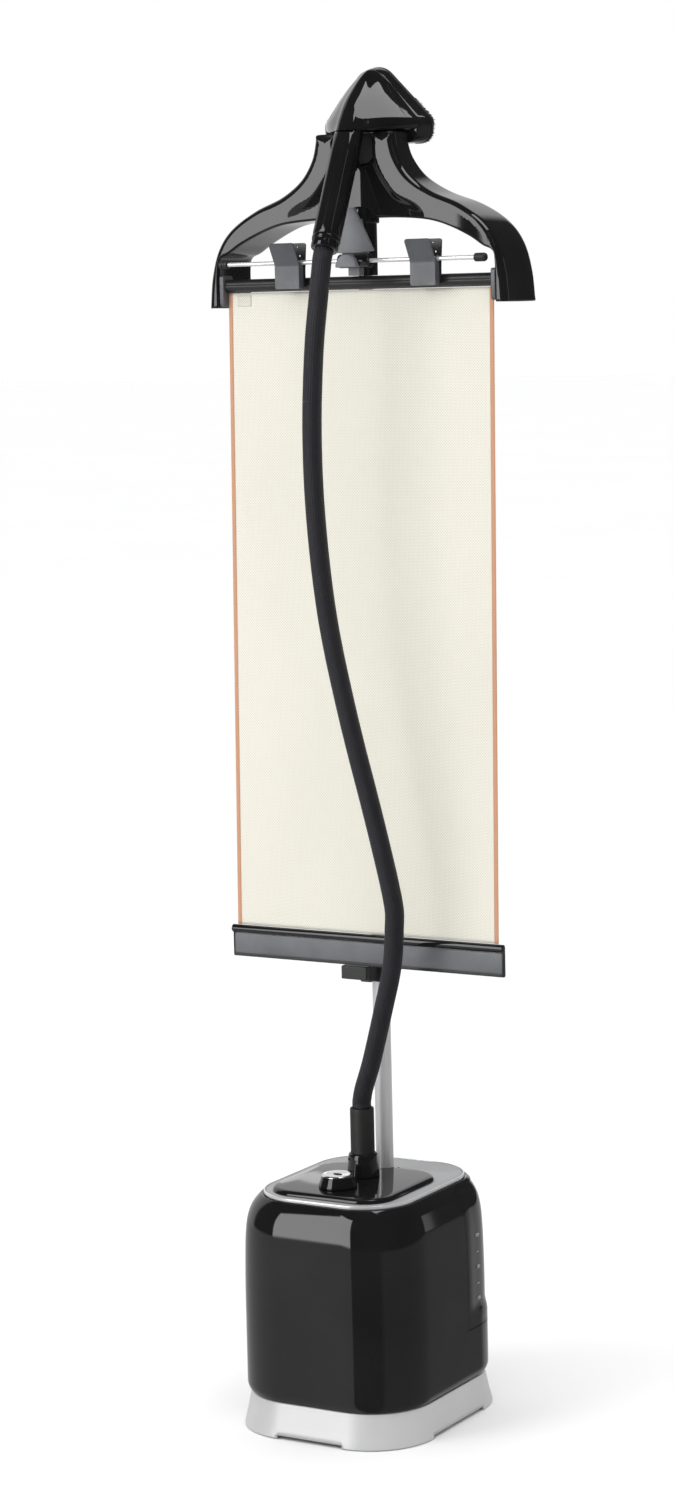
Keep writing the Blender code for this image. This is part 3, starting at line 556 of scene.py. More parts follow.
def extrude(name, outline, low, high, to_space, finish, node, soft=0.0, sharp=None, **more):
    """A piece of one flat outline, with its edges softened."""
    bm = bmesh.new()
    prism(bm, outline, low, high, to_space)
    thing = place(name, solid(name, bm, sharp=sharp), finish, node, **more)
    return bevel(thing, soft) if soft else thing


def soft_box(low_u, low_v, high_u, high_v, radius):
    """A rectangle's outline with eased corners."""
    return eased([(low_u, low_v), (high_u, low_v), (high_u, high_v), (low_u, high_v)], radius, closed=True)


def front_view(u, v, depth):
    return (u, depth, v)


def side_view(u, v, depth):
    return (depth, u, v)


def wire(name, points, radius, finish, node, sides=12, **more):
    """A round wire along the points, with closed ends."""
    return loft(name, sweep(points, lambda angle: radius, sides), finish, node, sharp=None, **more)


def sweep(points, radius_at, sides):
    """Rings round a path that don't twist."""
    points = [Vector(p) for p in points]
    tangents = []
    for i, here in enumerate(points):
        before, after = points[max(0, i - 1)], points[min(len(points) - 1, i + 1)]
        tangents.append((after - before).normalized())
    side = tangents[0].orthogonal().normalized()
    rings = []
    for here, tangent in zip(points, tangents):
        side = (side - tangent * side.dot(tangent)).normalized()
        other = tangent.cross(side)
        rings.append([here + (side * math.cos(a) + other * math.sin(a)) * radius_at(a)
                      for a in (math.tau * k / sides for k in range(sides))])
    return rings


# ---------- hose ----------

def hose_route():
    """The hose's centre line, as two stretches that meet near the top of the pole."""
    coarse = [HOSE_ROUTE[0], *smooth_curve(HOSE_ROUTE[1:-1], 3), HOSE_ROUTE[-1]]
    coarse = [Vector(point) for point in coarse]
    split = min(range(len(coarse)), key=lambda i: abs(coarse[i].z - 1.3))
    return coarse[:split + 1], coarse[split:]


def hose_stretch(name, route, node):
    """A ribbed sleeve round the route, with a UV map for its braid; with its path and its length."""
    fine = smooth_curve(route, 6)
    sides, ribs = 96, 24
    travelled = travel(fine)
    rings = sweep(fine, lambda a: HOSE_R - 0.0004 * (1 - math.cos(ribs * a)) / 2, sides)
    bm = bmesh.new()
    loops = skin(bm, rings, caps=(True, True))
    layer = bm.loops.layers.uv.new("UVMap")
    index = {vertex: (i, k) for i, loop in enumerate(loops) for k, vertex in enumerate(loop)}
    for face in bm.faces:
        columns = [index[corner.vert][1] for corner in face.loops]
        wrap = max(columns) - min(columns) > sides / 2
        for corner in face.loops:
            i, k = index[corner.vert]
            corner[layer].uv = ((k + sides if wrap and k < sides / 2 else k) / sides, travelled[i])
    thing = place(name, solid(name, bm, sharp=60), "sleeve", node, ride=False)
    return thing, fine, travelled[-1]


def hoses():
    """The hose in two stretches, each blended between the bodies at its ends."""
    low_route, high_route = hose_route()
    for name, route, node, bodies, start, end, lay in (
        ("hose_low", low_route, "hose_lower", ("base", "mast_top"), (0.0, -0.003, 0.42), (0.0, -0.07, 1.28), "loose"),
        ("hose_high", high_route, "hose_upper", ("mast_top", "steam_head"), (0.0, -0.07, 1.31),
         (0.0, -0.052, 1.46), "taut"),
    ):
        thing, path, length = hose_stretch(name, route, node)
        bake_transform(thing, *bodies, start=start, end=end)


# ---------- base ----------

def body_inset(z):
    """How far the body's outline is drawn in at a height: a small foot radius and a long shoulder."""
    foot = 0.0045 * max(0.0, 1 - (z - BODY_FOOT) / 0.012) ** 2
    rise = max(0.0, (z - 0.15) / (HOUSING_TOP - 0.15))
    return foot + 0.004 * rise ** 2 + 0.018 * rise ** 9


def body_ring(z, tank):
    """The body's outline at a height, with a column of points at each side of the tank's seam."""
    inset = body_inset(z)
    width, depth = BODY_W - 2 * inset, BODY_D - 1.6 * inset
    corner = BODY_CORNER - 0.6 * inset
    half_x, half_y = width / 2, depth / 2
    flat = half_y - corner
    if tank:
        straight = [y for y in (TANK_FRONT + 0.00035, 0.044, 0.052, 0.06) if y < flat - 0.001]
    else:
        straight = [TANK_FRONT - 0.00035 - step for step in (0.0, 0.02, 0.045)]
    facing = 1 if tank else -1
    ring = [(half_x, y) for y in straight]
    ring += [(half_x - corner + corner * math.cos(a), facing * flat + corner * math.sin(a)) for a in
             (math.radians(facing * 90 * i / 24) for i in range(25))]
    ring += [(-x, y) for x, y in reversed(ring)]
    if tank:
        slim = 0.0032 * smoothstep(z, 0.124, 0.142)
        ring = [(x - math.copysign(slim * smoothstep(y, 0.037, 0.075), x), y - slim * smoothstep(y, 0.1, 0.146))
                for x, y in ring]
    return [(x, y, z) for x, y in ring]


def full_ring(z, margin=0.0):
    inset = body_inset(z)
    return rounded_rectangle(BODY_W - 2 * (inset + margin), BODY_D - 2 * (0.8 * inset + margin),
                             BODY_CORNER - 0.6 * inset - margin, z, steps=24)


def shell(thing, thickness, edge):
    """Give a single skin its wall and soften the wall's edges."""
    wall(thing, thickness, -1, True)
    bevel(thing, edge, 2, 50)


def housing():
    """The body in three skins that meet at the tank's seams, so that the gaps are real."""
    bm = bmesh.new()
    open_skin(bm, [body_ring(z, False) for z in heights(TANK_FLOOR - 0.00035, TANK_ROOF + 0.00035, 44)])
    skin(bm, [full_ring(z) for z in heights(BODY_FOOT, TANK_FLOOR - 0.00035, 26)])
    skin(bm, [full_ring(z) for z in heights(TANK_ROOF + 0.00035, HOUSING_TOP, 8)]
         + [full_ring(HOUSING_TOP, 0.0006), full_ring(HOUSING_TOP - 0.0005, 0.004)])
    bmesh.ops.remove_doubles(bm, verts=bm.verts, dist=0.00001)
    thing = place("body_shell", solid("body_shell", bm), "gloss_black", "housing")
    shell(thing, 0.0028, 0.0006)
    bm = bmesh.new()
    open_skin(bm, [body_ring(z, True) for z in heights(TANK_FLOOR + 0.0003, TANK_ROOF - 0.0003, 60)])
    tank = place("tank_shell", solid("tank_shell", bm), "smoked", "water_tank")
    shell(tank, 0.0024, 0.0008)
    level_marks()


def level_marks():
    """Plain level ticks on the tank's right side."""
    bm = bmesh.new()
    for z in (0.1462, 0.1667, 0.187, 0.2075, 0.2278):
        long = 0.0075 if z in (0.1462, 0.187, 0.2278) else 0.0045
        x = BODY_W / 2 - body_inset(z) - 0.0026
        for step in range(2 if long > 0.005 else 1):
            block(bm, (x - 0.001, 0.064, z - 0.0004 + 0.0022 * step),
                  (x + 0.0012, 0.064 + long, z + 0.0004 + 0.0022 * step))
    place("level_marks", solid("level_marks", bm, smooth=False), "print", "water_tank", slot="")


def skirt():
    outer = [(0.0, 0.001), (0.003, 0.012), (0.0048, 0.018), (0.0078, 0.03), (0.0108, 0.0425), (0.0116, 0.044)]
    inner = [(0.015, 0.0443), (0.009, 0.018), (0.0035, 0.001)]
    rings = []
    for inset, z in eased(outer + inner, 0.0015, closed=True):
        drawn = inset * 0.54
        rings.append(rounded_rectangle(0.261 - 2 * drawn, 0.3077 - 2 * inset, 0.085 - 0.55 * drawn, z, steps=20))
    thing = loft("skirt_ring", rings, "silver_paint", "skirt", closed=True, sharp=60)
    arches = bmesh.new()
    block(arches, (-0.047, -0.2, -0.01), (0.047, 0.2, 0.0052))
    block(arches, (-0.2, -0.066, -0.01), (0.2, 0.066, 0.005))
    cut(thing, [arches])


def deck():
    stack("deck_plate", (0.2008, 0.2462, 0.0635), [(0.001, 0.2946), (0.0, 0.2952), (0.0, 0.3014), (0.0012, 0.3024)],
          "deck_grey", "deck", ease=0.0008)
    trim = [(0.0008, 0.2984), (0.0008, 0.302), (0.0014, 0.3027), (0.003, 0.3027), (0.0032, 0.2984)]
    stack("rim_line", (0.2072, 0.2532, 0.0665), trim, "bright", "trim_line", ease=0.0006, ring=True, slot="chrome")
    raised = [(0.0, DECK_TOP + 0.0002), (0.0, 0.3048), (0.0016, 0.3074), (0.0045, 0.3087), (0.0085, PLATFORM_TOP)]
    stack("control_platform", (0.17, 0.172, 0.04), raised, "gloss_black", "platform", PLATFORM_Y, ease=0.0015)
    # A near-black arc on the deck beside the pole for a recessed slot: painted shade in the slot.
    crescent = [(0.0215 * math.cos(a), POLE_Y + 0.0215 * math.sin(a), DECK_TOP + 0.0003)
                for a in (math.radians(10 + 60 * i / 14) for i in range(15))]
    wire("deck_crescent", crescent, 0.0012, "seam", "deck", **DETAIL)


def knob():
    foot = PLATFORM_TOP + 0.0003
    body = [(0, 0.3238), (0.0198, 0.3238), (0.0206, 0.3226), (0.0222, 0.318), (0.0243, foot + 0.003),
            (0.0243, foot), (0, foot)]
    lathe("dial", body, (0, KNOB_Y, 0), "gloss_black", "knob", ease=0.001)
    cap = [(0, 0.325), (0.007, 0.3254), (0.015, 0.3262), (0.0188, 0.326), (0.0202, 0.3246), (0.0204, 0.3236),
           (0, 0.3236)]
    lathe("dial_cap", cap, (0, KNOB_Y, 0), "chrome", "knob_cap", ease=0.0008)
    # A near-black oval on the cap for its slot: painted shade in the slot.
    loft("dial_slot", [[(0.0062 * c, KNOB_Y + 0.0026 * s, z) for c, s in circle(32)] for z in (0.325, 0.3258)],
         "seam", "knob_cap", smooth=False, **DETAIL)


def hose_fittings():
    foot = PLATFORM_TOP + 0.0003
    socket = [(0.006, 0.3396), (0.0168, 0.3396), (0.0184, 0.3372), (0.019, 0.33), (0.0196, 0.323),
              (0.0206, 0.312), (0.0208, foot), (0.006, foot)]
    lathe("hose_cup", socket, (0, SOCKET_Y, 0), "gloss_black", "hose_socket", ease=0.0012, ring=True)
    stud = Vector((0.35, -0.93, 0.0)).normalized()
    lathe("cup_stud", [(0, 0.0006), (0.0014, 0.0004), (0.0019, -0.0006), (0, -0.0006)],
          Vector((0, SOCKET_Y, 0.3325)) + Vector((-0.0115, -0.015, 0)), "satin_black", "hose_socket",
          lean=stud, sides=24, replaced=False)
    cuff = [(0.012, 0.3978), (0.0146, 0.3978), (0.0153, 0.3965), (0.0153, 0.3407), (0.0158, 0.3399),
            (0.007, 0.3399)]
    lathe("hose_boot", cuff, (0, SOCKET_Y, 0), "rubber", "hose_cuff", ease=0.001, ring=True)


# ---------- pole ----------

def clamp(tag, foot, height, bore, radius):
    """A waisted clamping collar with a lever on its right."""
    top = foot + height
    collar = [(bore, foot), (radius - 0.001, foot), (radius, foot + 0.0012), (radius, foot + 0.0066),
              (radius - 0.0011, foot + 0.0076), (radius - 0.0011, top - 0.0076), (radius, top - 0.0066),
              (radius, top - 0.0014), (radius - 0.0012, top), (bore, top)]
    lathe(f"{tag}_clamp", collar, POLE, "satin_black", f"{tag}_collar", ease=0.0005, ring=True)
    outline = soft_box(POLE_Y - 0.0095, foot + 0.006, POLE_Y + 0.0145, top - 0.006, 0.0025)
    extrude(f"{tag}_catch", outline, radius + 0.0004, radius + 0.0042, side_view, "gloss_black", f"{tag}_lever",
            0.0009)


def pole():
    for name, node, foot, top, radius in (
        ("pole_low", "lower_tube", 0.1165, 0.9005, 0.0112),
        ("pole_mid", "middle_tube", 0.64, 1.2068, 0.01),
        ("pole_high", "upper_tube", 0.95, 1.54, 0.0087),
    ):
        profile = [(radius, foot), (radius, top - 0.0012), (radius - 0.0008, top), (radius - 0.0016, top - 0.001),
                   (radius - 0.0016, foot)]
        lathe(name, profile, POLE, "aluminium", node, ease=0.0004, ring=True)
    clamp("lower", 0.8795, 0.023, 0.0114, 0.0155)
    clamp("upper", 1.1864, 0.0225, 0.0102, 0.0145)


def rail_holder():
    bm = bmesh.new()
    block(bm, (-0.011, 0.02, 0.5545), (0.004, 0.042, 0.5735))
    block(bm, (-0.0334, 0.01, 0.5585), (0.0035, 0.024, 0.5755))
    bevel(place("rail_rest", solid("rail_rest", bm), "satin_black", "rail_holder"), 0.0012)
    ring = [(0.0114, 0.552), (0.0145, 0.552), (0.0145, 0.574), (0.0114, 0.574)]
    lathe("holder_ring", ring, POLE, "satin_black", "rail_holder", ease=0.001, ring=True)


# ---------- hanger ----------

def hanger_front(x):
    return 0.027 - 0.006 * smoothstep(abs(x), 0.12, 0.21)


def hanger_back(x):
    reach = min(1.0, max(0.0, (abs(x) - 0.055) / 0.11))
    return 0.069 + 0.035 * (1 - (1 - reach) ** 1.6)


def even(points, step):
    """The same line with points an even distance apart."""
    points = [Vector(p) for p in points]
    lengths = travel(points)
    count = max(2, round(lengths[-1] / step))
    xs, zs = ([p[i] for p in points] for i in (0, 1))
    at = np.linspace(0, lengths[-1], count + 1)
    return [Vector((float(x), float(z))) for x, z in zip(np.interp(at, lengths, xs), np.interp(at, lengths, zs))]


def hanger_outline():
    """The bell-shaped outline in (x, z), from the cradle over the right horn and back."""
    cradle = [(0.0, 1.58), (0.014, 1.583), (0.0225, 1.594), (0.025, 1.61), (0.0252, 1.615)]
    horn = eased([(0.0252, 1.615), (0.0262, 1.6178), (0.0548, 1.6178), (0.0558, 1.615)], 0.003, 5)
    shoulder = [
        (0.0558, 1.615), (0.056, 1.608), (0.062, 1.586), (0.078, 1.5625), (0.106, 1.543), (0.145, 1.527),
        (0.179, 1.505), (0.1985, 1.479), (0.2085, 1.445), (0.2125, 1.407),
    ]
    notch = [(0.2125, 1.407), (0.1978, 1.407), (0.1978, 1.452)]
    inside = [
        (0.1978, 1.452), (0.1965, 1.4655), (0.1915, 1.471), (0.181, 1.4752), (0.164, 1.4858), (0.139, 1.4976),
        (0.114, 1.5062), (0.09, 1.5103), (0.05, 1.513), (0.0, 1.5135),
    ]
    half = even(smooth_curve(cradle, 8), 0.002) + horn[1:-1] + even(smooth_curve(shoulder, 8), 0.002)
    half += even(notch, 0.002)[1:] + even(smooth_curve(inside, 8), 0.002)[1:]
    return half + [Vector((-p.x, p.y)) for p in reversed(half[1:-1])]


def bell_line():
    """Where each arm's face meets the sunk middle of the hanger, on the right."""
    return even(smooth_curve([(0.0268, 1.6178), (0.03, 1.5895), (0.0386, 1.5689), (0.0523, 1.5501),
                              (0.0637, 1.5396), (0.0846, 1.5308), (0.1031, 1.5201), (0.118, 1.5054)], 6), 0.0025)


def distances(points, line, closed):
    """How far each point is from a line."""
    points, line = np.array(points), np.array([tuple(p) for p in line])
    ends = np.roll(line, -1, axis=0) if closed else line[1:]
    starts = line if closed else line[:-1]
    best = np.full(len(points), 1e9)
    for a, b in zip(starts, ends):
        span = b - a
        t = np.clip(((points - a) @ span) / max(1e-12, span @ span), 0, 1)
        best = np.minimum(best, np.linalg.norm(points - a - t[:, None] * span, axis=1))
    return best


def inside(points, polygon):
    points, polygon = np.array(points), np.array([tuple(p) for p in polygon])
    hit = np.zeros(len(points), bool)
    for (ax, az), (bx, bz) in zip(polygon, np.roll(polygon, -1, axis=0)):
        crosses = (az > points[:, 1]) != (bz > points[:, 1])
        with np.errstate(divide="ignore", invalid="ignore"):
            at = (bx - ax) * (points[:, 1] - az) / (bz - az) + ax
        hit ^= crosses & (points[:, 0] < at)
    return hit


def hanger_depth(points, outline):
    """The front face's depth: rolled edges all round, and a shallow valley between the two arms."""
    count = len(outline)
    turn = max(range(count // 2), key=lambda i: -outline[i].y + (0 if outline[i].x > 0.205 else -1))
    inner, outer = outline[turn:count - turn + 1], outline[count - turn:] + outline[:turn + 1]
    rolled = 0.0
    for line, roll in ((outer, 0.0085), (inner, 0.0022)):
        edge = np.minimum(roll, distances(points, line, False))
        rolled = np.maximum(rolled, roll - np.sqrt(np.maximum(0.0, roll ** 2 - (roll - edge) ** 2)))
    line = bell_line()
    bell = line + [Vector((0.13, 1.45)), Vector((-0.13, 1.45))] + [Vector((-p.x, p.y)) for p in reversed(line)]
    away = distances([(abs(x), z) for x, z in points], line, False)
    sunk = np.where(inside(points, bell), away, 0.0)
    lead = np.clip(sunk / 0.009, 0, 1)
    lead = lead * lead * (3 - 2 * lead)
    soft = np.sqrt(np.array([x * x for x, _ in points]) + 0.004 ** 2)
    valley = 0.0125 * np.clip(1 - soft / 0.1, 0, 1)
    base = np.array([hanger_front(x) for x, _ in points])
    return base + rolled + lead * valley


def hanger():
    outline = hanger_outline()
    count = len(outline)
    grid = [(x, z) for x in np.arange(-0.213, 0.2131, 0.0028) for z in np.arange(1.405, 1.619, 0.0028)]
    grid = [p for p, keep in zip(grid, inside(grid, outline)) if keep]
    grid = [p for p, far in zip(grid, distances(grid, outline, True)) if far > 0.0092]
    normals = []
    for i in range(count):
        along = (outline[(i + 1) % count] - outline[i - 1]).normalized()
        normals.append(Vector((along.y, -along.x)))
    for inset in (0.0003, 0.0009, 0.0018, 0.003, 0.0044, 0.006, 0.008):
        ring = [tuple(p + n * inset) for p, n in zip(outline, normals)]
        ring = [p for p, keep in zip(ring, inside(ring, outline)) if keep]
        grid += [p for p, far in zip(ring, distances(ring, outline, True)) if far > 0.97 * inset]
    points = [tuple(p) for p in outline] + grid
    made = geometry.delaunay_2d_cdt([Vector(p) for p in points], [], [list(range(count))], 1, 0.000001)
    flat, faces = [tuple(v) for v in made[0]], made[2]
    depth = hanger_depth(flat, outline)
    bm = bmesh.new()
    verts = [bm.verts.new((x, float(y), z)) for (x, z), y in zip(flat, depth)]
    for face in faces:
        bm.faces.new([verts[i] for i in face])
    rim = [None] * count
    for index, origin in enumerate(made[3]):
        for i in origin:
            if i < count:
                rim[i] = verts[index]
    loops = [rim]
    for t in (0.06, 0.16, 0.28, 0.42, 0.56, 0.7, 0.82, 0.91, 0.96, 0.99, 1.0):
        out = 0.0003 * math.sin(math.pi * t) - 0.0016 * smoothstep(t, 0.93, 1.0)
        ring = []
        for i in range(count):
            spot = outline[i] - normals[i] * out
            front, back = rim[i].co.y, hanger_back(outline[i].x)
            ring.append(bm.verts.new((spot.x, front + (back - front) * t, spot.y)))
        loops.append(ring)
    join(bm, loops)
    thing = place("hanger_body", solid("hanger_body", bm), "gloss_black", "hanger_shell")
    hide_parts("hanger_front_panel")
    wall(thing, 0.0024, -1)
    hanger_details(outline)


def hanger_details(outline):
    """The cover's seams with their small hooks, a near-black matte wall behind the head's cradle that paints the
    shade in it, and the pole's sleeve.
    """
    # The cradle's back wall takes the near-black seam finish: painted shade in the cradle.
    extrude("cradle_shade_wall", soft_box(-0.0262, 1.57, 0.0262, 1.6186, 0.004), 0.0664, 0.069, front_view, "seam",
            "hanger_shell", 0.0008, **DETAIL)
    route = smooth_curve([(0.156, 1.5178), (0.164, 1.5122), (0.1765, 1.5003), (0.1858, 1.4893),
                          (0.1885, 1.4832)], 6)
    route += [Vector(p) for p in ((0.189, 1.48), (0.1915, 1.4815), (0.1935, 1.478), (0.188, 1.4745))]
    for side, sign in reversed(SIGNS.items()):
        spots = [(sign * p[0], p[1]) for p in route]
        deep = hanger_depth(spots, outline)
        wire(f"arm_seam_{side}", [(x, float(y) + 0.00005, z) for (x, z), y in zip(spots, deep)], 0.00032, "seam",
             "hanger_shell", 8, **DETAIL)
    pipe = [(0.009, 1.443), (0.0156, 1.443), (0.0156, 1.509), (0.0125, 1.512), (0.0125, 1.545),
            (0.009, 1.545)]
    lathe("pole_sleeve", pipe, POLE, "gloss_black", "pole_head", ease=0.001, ring=True, slot="satin_black")


def bracket():
    """The tapered face in front of the hanger, its web, and the bar's half-round support."""
    bm = bmesh.new()
    web = [(-0.0195, 1.456), (-0.008, 1.456), (-0.008, 1.443), (0.008, 1.443),
           (0.008, 1.456), (0.0195, 1.456), (0.007, 1.5128), (-0.007, 1.5128)]
    prism(bm, web, 0.024, 0.036, front_view)
    face = eased([(-0.0307, 1.4728), (-0.015, 1.4706), (0.015, 1.4706), (0.0307, 1.4728), (0.004, 1.5262),
                  (-0.004, 1.5262)], 0.0022, closed=True)
    prism(bm, face, 0.019, 0.0246, front_view)
    bevel(place("bracket_face", solid("bracket_face", bm), "satin_grey", "centre_bracket", slot="grey_plastic"),
          0.0011)
    hood = [(0.0128, 1.507), (0.018, 1.507), (0.0188, 1.5085), (0.0187, 1.519), (0.0174, 1.5255),
            (0.0128, 1.529)]
    lathe("sleeve_hood", hood, POLE, "gloss_black", "pole_head", ease=0.0012, ring=True, replaced=False,
          slot="satin_black")
    arc = [(0.015 * math.cos(math.radians(a)), 1.4532 + 0.0165 * math.sin(math.radians(a)))
           for a in range(0, 181, 6)]
    extrude("bar_saddle", arc, 0.0034, 0.0334, front_view, "satin_grey", "centre_bracket", 0.0014,
            slot="grey_plastic")
    sleeve = [(0, -0.016), (0.0082, -0.016), (0.0086, -0.015), (0.0086, 0.0265), (0.0082, 0.0275), (0, 0.0275)]
    lathe("bar_boss", sleeve, BAR, "gloss_black", "centre_bracket", "X", ease=0.0008, replaced=False,
          slot="grey_plastic")


def trouser_bar():
    along = [(0, -0.188), (BAR_R - 0.0004, -0.188), (BAR_R, -0.187), (BAR_R, 0.183), (0, 0.1835)]
    lathe("bar_rod", along, BAR, "bright", "trouser_bar", "X", ease=0.0003, sides=48, slot="chrome")
    fitting = [(0.0029, -0.1905), (0.0055, -0.1905), (0.0055, -0.1872), (0.0044, -0.1862), (0.0044, -0.1842),
               (0.0055, -0.1832), (0.0055, -0.1798), (0.004, -0.179), (0.0029, -0.179)]
    lathe("bar_bush", fitting, BAR, "satin_black", "bar_fitting", "X", ease=0.0005, ring=True, sides=48)
    cap = [(0.0028, 0.1735), (0.0046, 0.1735), (0.0053, 0.175), (0.0053, 0.1868), (0.004, 0.1893), (0, 0.19)]
    lathe("bar_tip", cap, BAR, "rubber", "bar_end_cap", "X", ease=0.0012, sides=48)


def cassette():
    """The slotted tube over the roller, with a groove along its front."""
    outline = []
    for step in range(61):
        angle = math.radians(-78 + 336 * step / 60)
        facing = math.degrees(math.atan2(math.sin(angle), -math.cos(angle)))
        radius = 0.0083 - 0.0009 * math.exp(-((facing - 8) / 5.0) ** 2)
        outline.append((CASSETTE_Y + radius * math.cos(angle), CASSETTE_Z + radius * math.sin(angle)))
    for step in range(61):
        angle = math.radians(256 - 332 * step / 60)
        outline.append((CASSETTE_Y + 0.007 * math.cos(angle), CASSETTE_Z + 0.007 * math.sin(angle)))
    extrude("cassette_tube", outline, -0.1905, 0.1905, side_view, "satin_black", "cassette", sharp=45)
    for side, sign in SIGNS.items():
        extrude(f"cassette_cheek_{side}", soft_box(0.024, 1.409, 0.047, 1.448, 0.004),
                *sorted((sign * 0.1908, sign * 0.1974)), side_view, "grey_plastic", f"cassette_end_{side}", 0.0012)
    spindle = [(0, -0.19), (0.0048, -0.19), (0.0048, 0.19), (0, 0.19)]
    lathe("roller_tube", spindle, (0, CASSETTE_Y, CASSETTE_Z), "aluminium", "roller", "X", ease=0.0005, sides=48)


# ---------- press screen ----------

def cloth_depth(x, z):
    """Where the hanging cloth is in Y; it ripples very slightly."""
    share = (z - SCREEN_FOOT) / (SCREEN_TOP - SCREEN_FOOT)
    y = SCREEN_FOOT_Y + (SCREEN_TOP_Y - SCREEN_FOOT_Y) * share
    ripple = 0.00045 * math.sin(9.0 * x + 1.3) * math.sin(3.1 * z + 0.4) + 0.0002 * math.sin(61 * x + 2.0 * z)
    return y + ripple * math.sin(math.pi * share) ** 0.5


def cloth_strip(name, low, high, columns, rows, lift, thickness, finish, bottom=SCREEN_FOOT, top=SCREEN_TOP):
    """A strip of cloth between two places in X, lifted off the screen's face."""
    bm = bmesh.new()
    open_skin(bm, [[(x, cloth_depth(x, z) - lift, z) for x in heights(low, high, columns)]
                   for z in heights(bottom, top, rows)])
    thing = place(name, solid(name, bm), finish, "screen", slot="cloth")
    wall(thing, thickness, 0)
    settle(thing)
    return thing


def screen():
    cloth = cloth_strip("screen_cloth", -SCREEN_HALF, SCREEN_HALF, 76, 160, 0.0, 0.0008, "cloth")
    hems = [
        cloth_strip("screen_hem_left", -SCREEN_HALF - 0.0001, -0.1842, 3, 160, 0.0001, 0.0015, "tape"),
        cloth_strip("screen_hem_right", 0.1842, SCREEN_HALF + 0.0001, 3, 160, 0.0001, 0.0015, "tape"),
        cloth_strip("screen_patch", -0.1765, -0.1565, 8, 6, 0.0006, 0.0006, "patch", 1.4085, 1.4225),
    ]
    for thing in (cloth, *hems):
        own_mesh(thing)


def bottom_rail():
    profile = [(0, -0.1975), (RAIL_R - 0.0005, -0.1975), (RAIL_R, -0.1968), (RAIL_R, 0.1962), (0, 0.1968)]
    lathe("rail_tube", profile, (0, SCREEN_FOOT_Y, RAIL_Z), "gloss_black", "rail_bead", "X", ease=0.0004, sides=48,
          slot="satin_black")
    extrude("rail_blade", soft_box(0.0155, 0.5762, 0.0185, 0.6063, 0.0008), -RAIL_HALF, RAIL_HALF, side_view,
            "rail_grey", "rail_plate", sharp=45, slot="grey_plastic")
    extrude("rail_lip", soft_box(0.014, 0.5764, 0.0156, 0.5802, 0.0006), -RAIL_HALF, RAIL_HALF, side_view,
            "satin_black", "rail_plate", sharp=45, replaced=False)
    for side, low, high in (("left", -0.1957, -RAIL_HALF), ("right", RAIL_HALF, 0.1972)):
        extrude(f"rail_end_{side}", soft_box(0.0138, 0.5762, 0.0202, 0.611, 0.002), low, high, side_view,
                "satin_black", f"rail_cap_{side}", 0.0007)


# ---------- trouser clips ----------

def bent_plate(name, x, profile, half, corner, thickness, finish, node, holes=()):
    """A plate bent along a (y, z) profile, with rounded corners and any round holes through it."""
    line = eased(profile, 0.003, 6)
    lengths = travel(line)
    total = lengths[-1]
    reach = [corner * (1 - math.cos(math.radians(a))) for a in range(0, 91, 15)]
    stations = sorted({*lengths, *reach, *(total - r for r in reach)})
    bm = bmesh.new()
    grid = []
    for s in stations:
        y, z = (float(np.interp(s, lengths, [p[i] for p in line])) for i in (0, 1))
        near = max(0.0, corner - min(s, total - s))
        width = half - corner + math.sqrt(max(0.0, corner ** 2 - near ** 2))
        grid.append([(x + width * k / 6, y, z) for k in range(-6, 7)])
    open_skin(bm, grid)
    thing = place(name, solid(name, bm), finish, node)
    wall(thing, thickness, 0, True)
    drills = []
    for hole_x, hole_z, radius in holes:
        drills.append(bmesh.new())
        skin(drills[-1], [[(hole_x + radius * c, y, hole_z + radius * s) for c, s in circle(24)]
                          for y in (0.0, 0.06)], caps=(True, True))
    if drills:
        cut(thing, drills)
    bevel(thing, 0.0004, 2, 50)


def clip(side):
    """The front jaw with its two ears, the rear jaw and the spring."""
    x = CLIP_X[side]
    front = [(0.0112, 1.4286), (0.0112, 1.459), (-0.0032, 1.4848)]
    bent_plate(f"jaw_front_{side}", x, front, 0.0175, 0.0028, 0.0022, "grey_plastic", f"clip_{side}_front_jaw")
    ear = eased([(0.0112, 1.4292), (0.0214, 1.4292), (0.0222, 1.462), (0.019, 1.4665), (0.0112, 1.46)],
                0.0022, closed=True)
    bm = bmesh.new()
    for offset in (-0.0166, 0.0166):
        prism(bm, ear, x + offset - 0.0007, x + offset + 0.0007, side_view)
    ears = place(f"jaw_ears_{side}", solid(f"jaw_ears_{side}", bm), "grey_plastic", f"clip_{side}_front_jaw")
    bevel(ears, 0.0004, 2)
    rear = [(0.0239, 1.43), (0.024, 1.452), (0.0274, 1.4853)]
    holes = [(x + 0.0105, 1.4695, 0.0013), (x + 0.0062, 1.4805, 0.001)]
    bent_plate(f"jaw_rear_{side}", x + 0.001, rear, 0.0175, 0.003, 0.002, "satin_black", f"clip_{side}_rear_jaw",
               holes)
    coil = []
    for i in range(5 * 24 + 1):
        angle = math.tau * i / 24
        coil.append((x - 0.0105 + 0.0042 * i / 24, BAR_Y + 0.0038 * math.cos(angle),
                     BAR_Z + 0.0038 * math.sin(angle)))
    wire(f"jaw_spring_{side}", coil, 0.0004, "steel", f"clip_{side}_spring", 10)


# ---------- steam head ----------

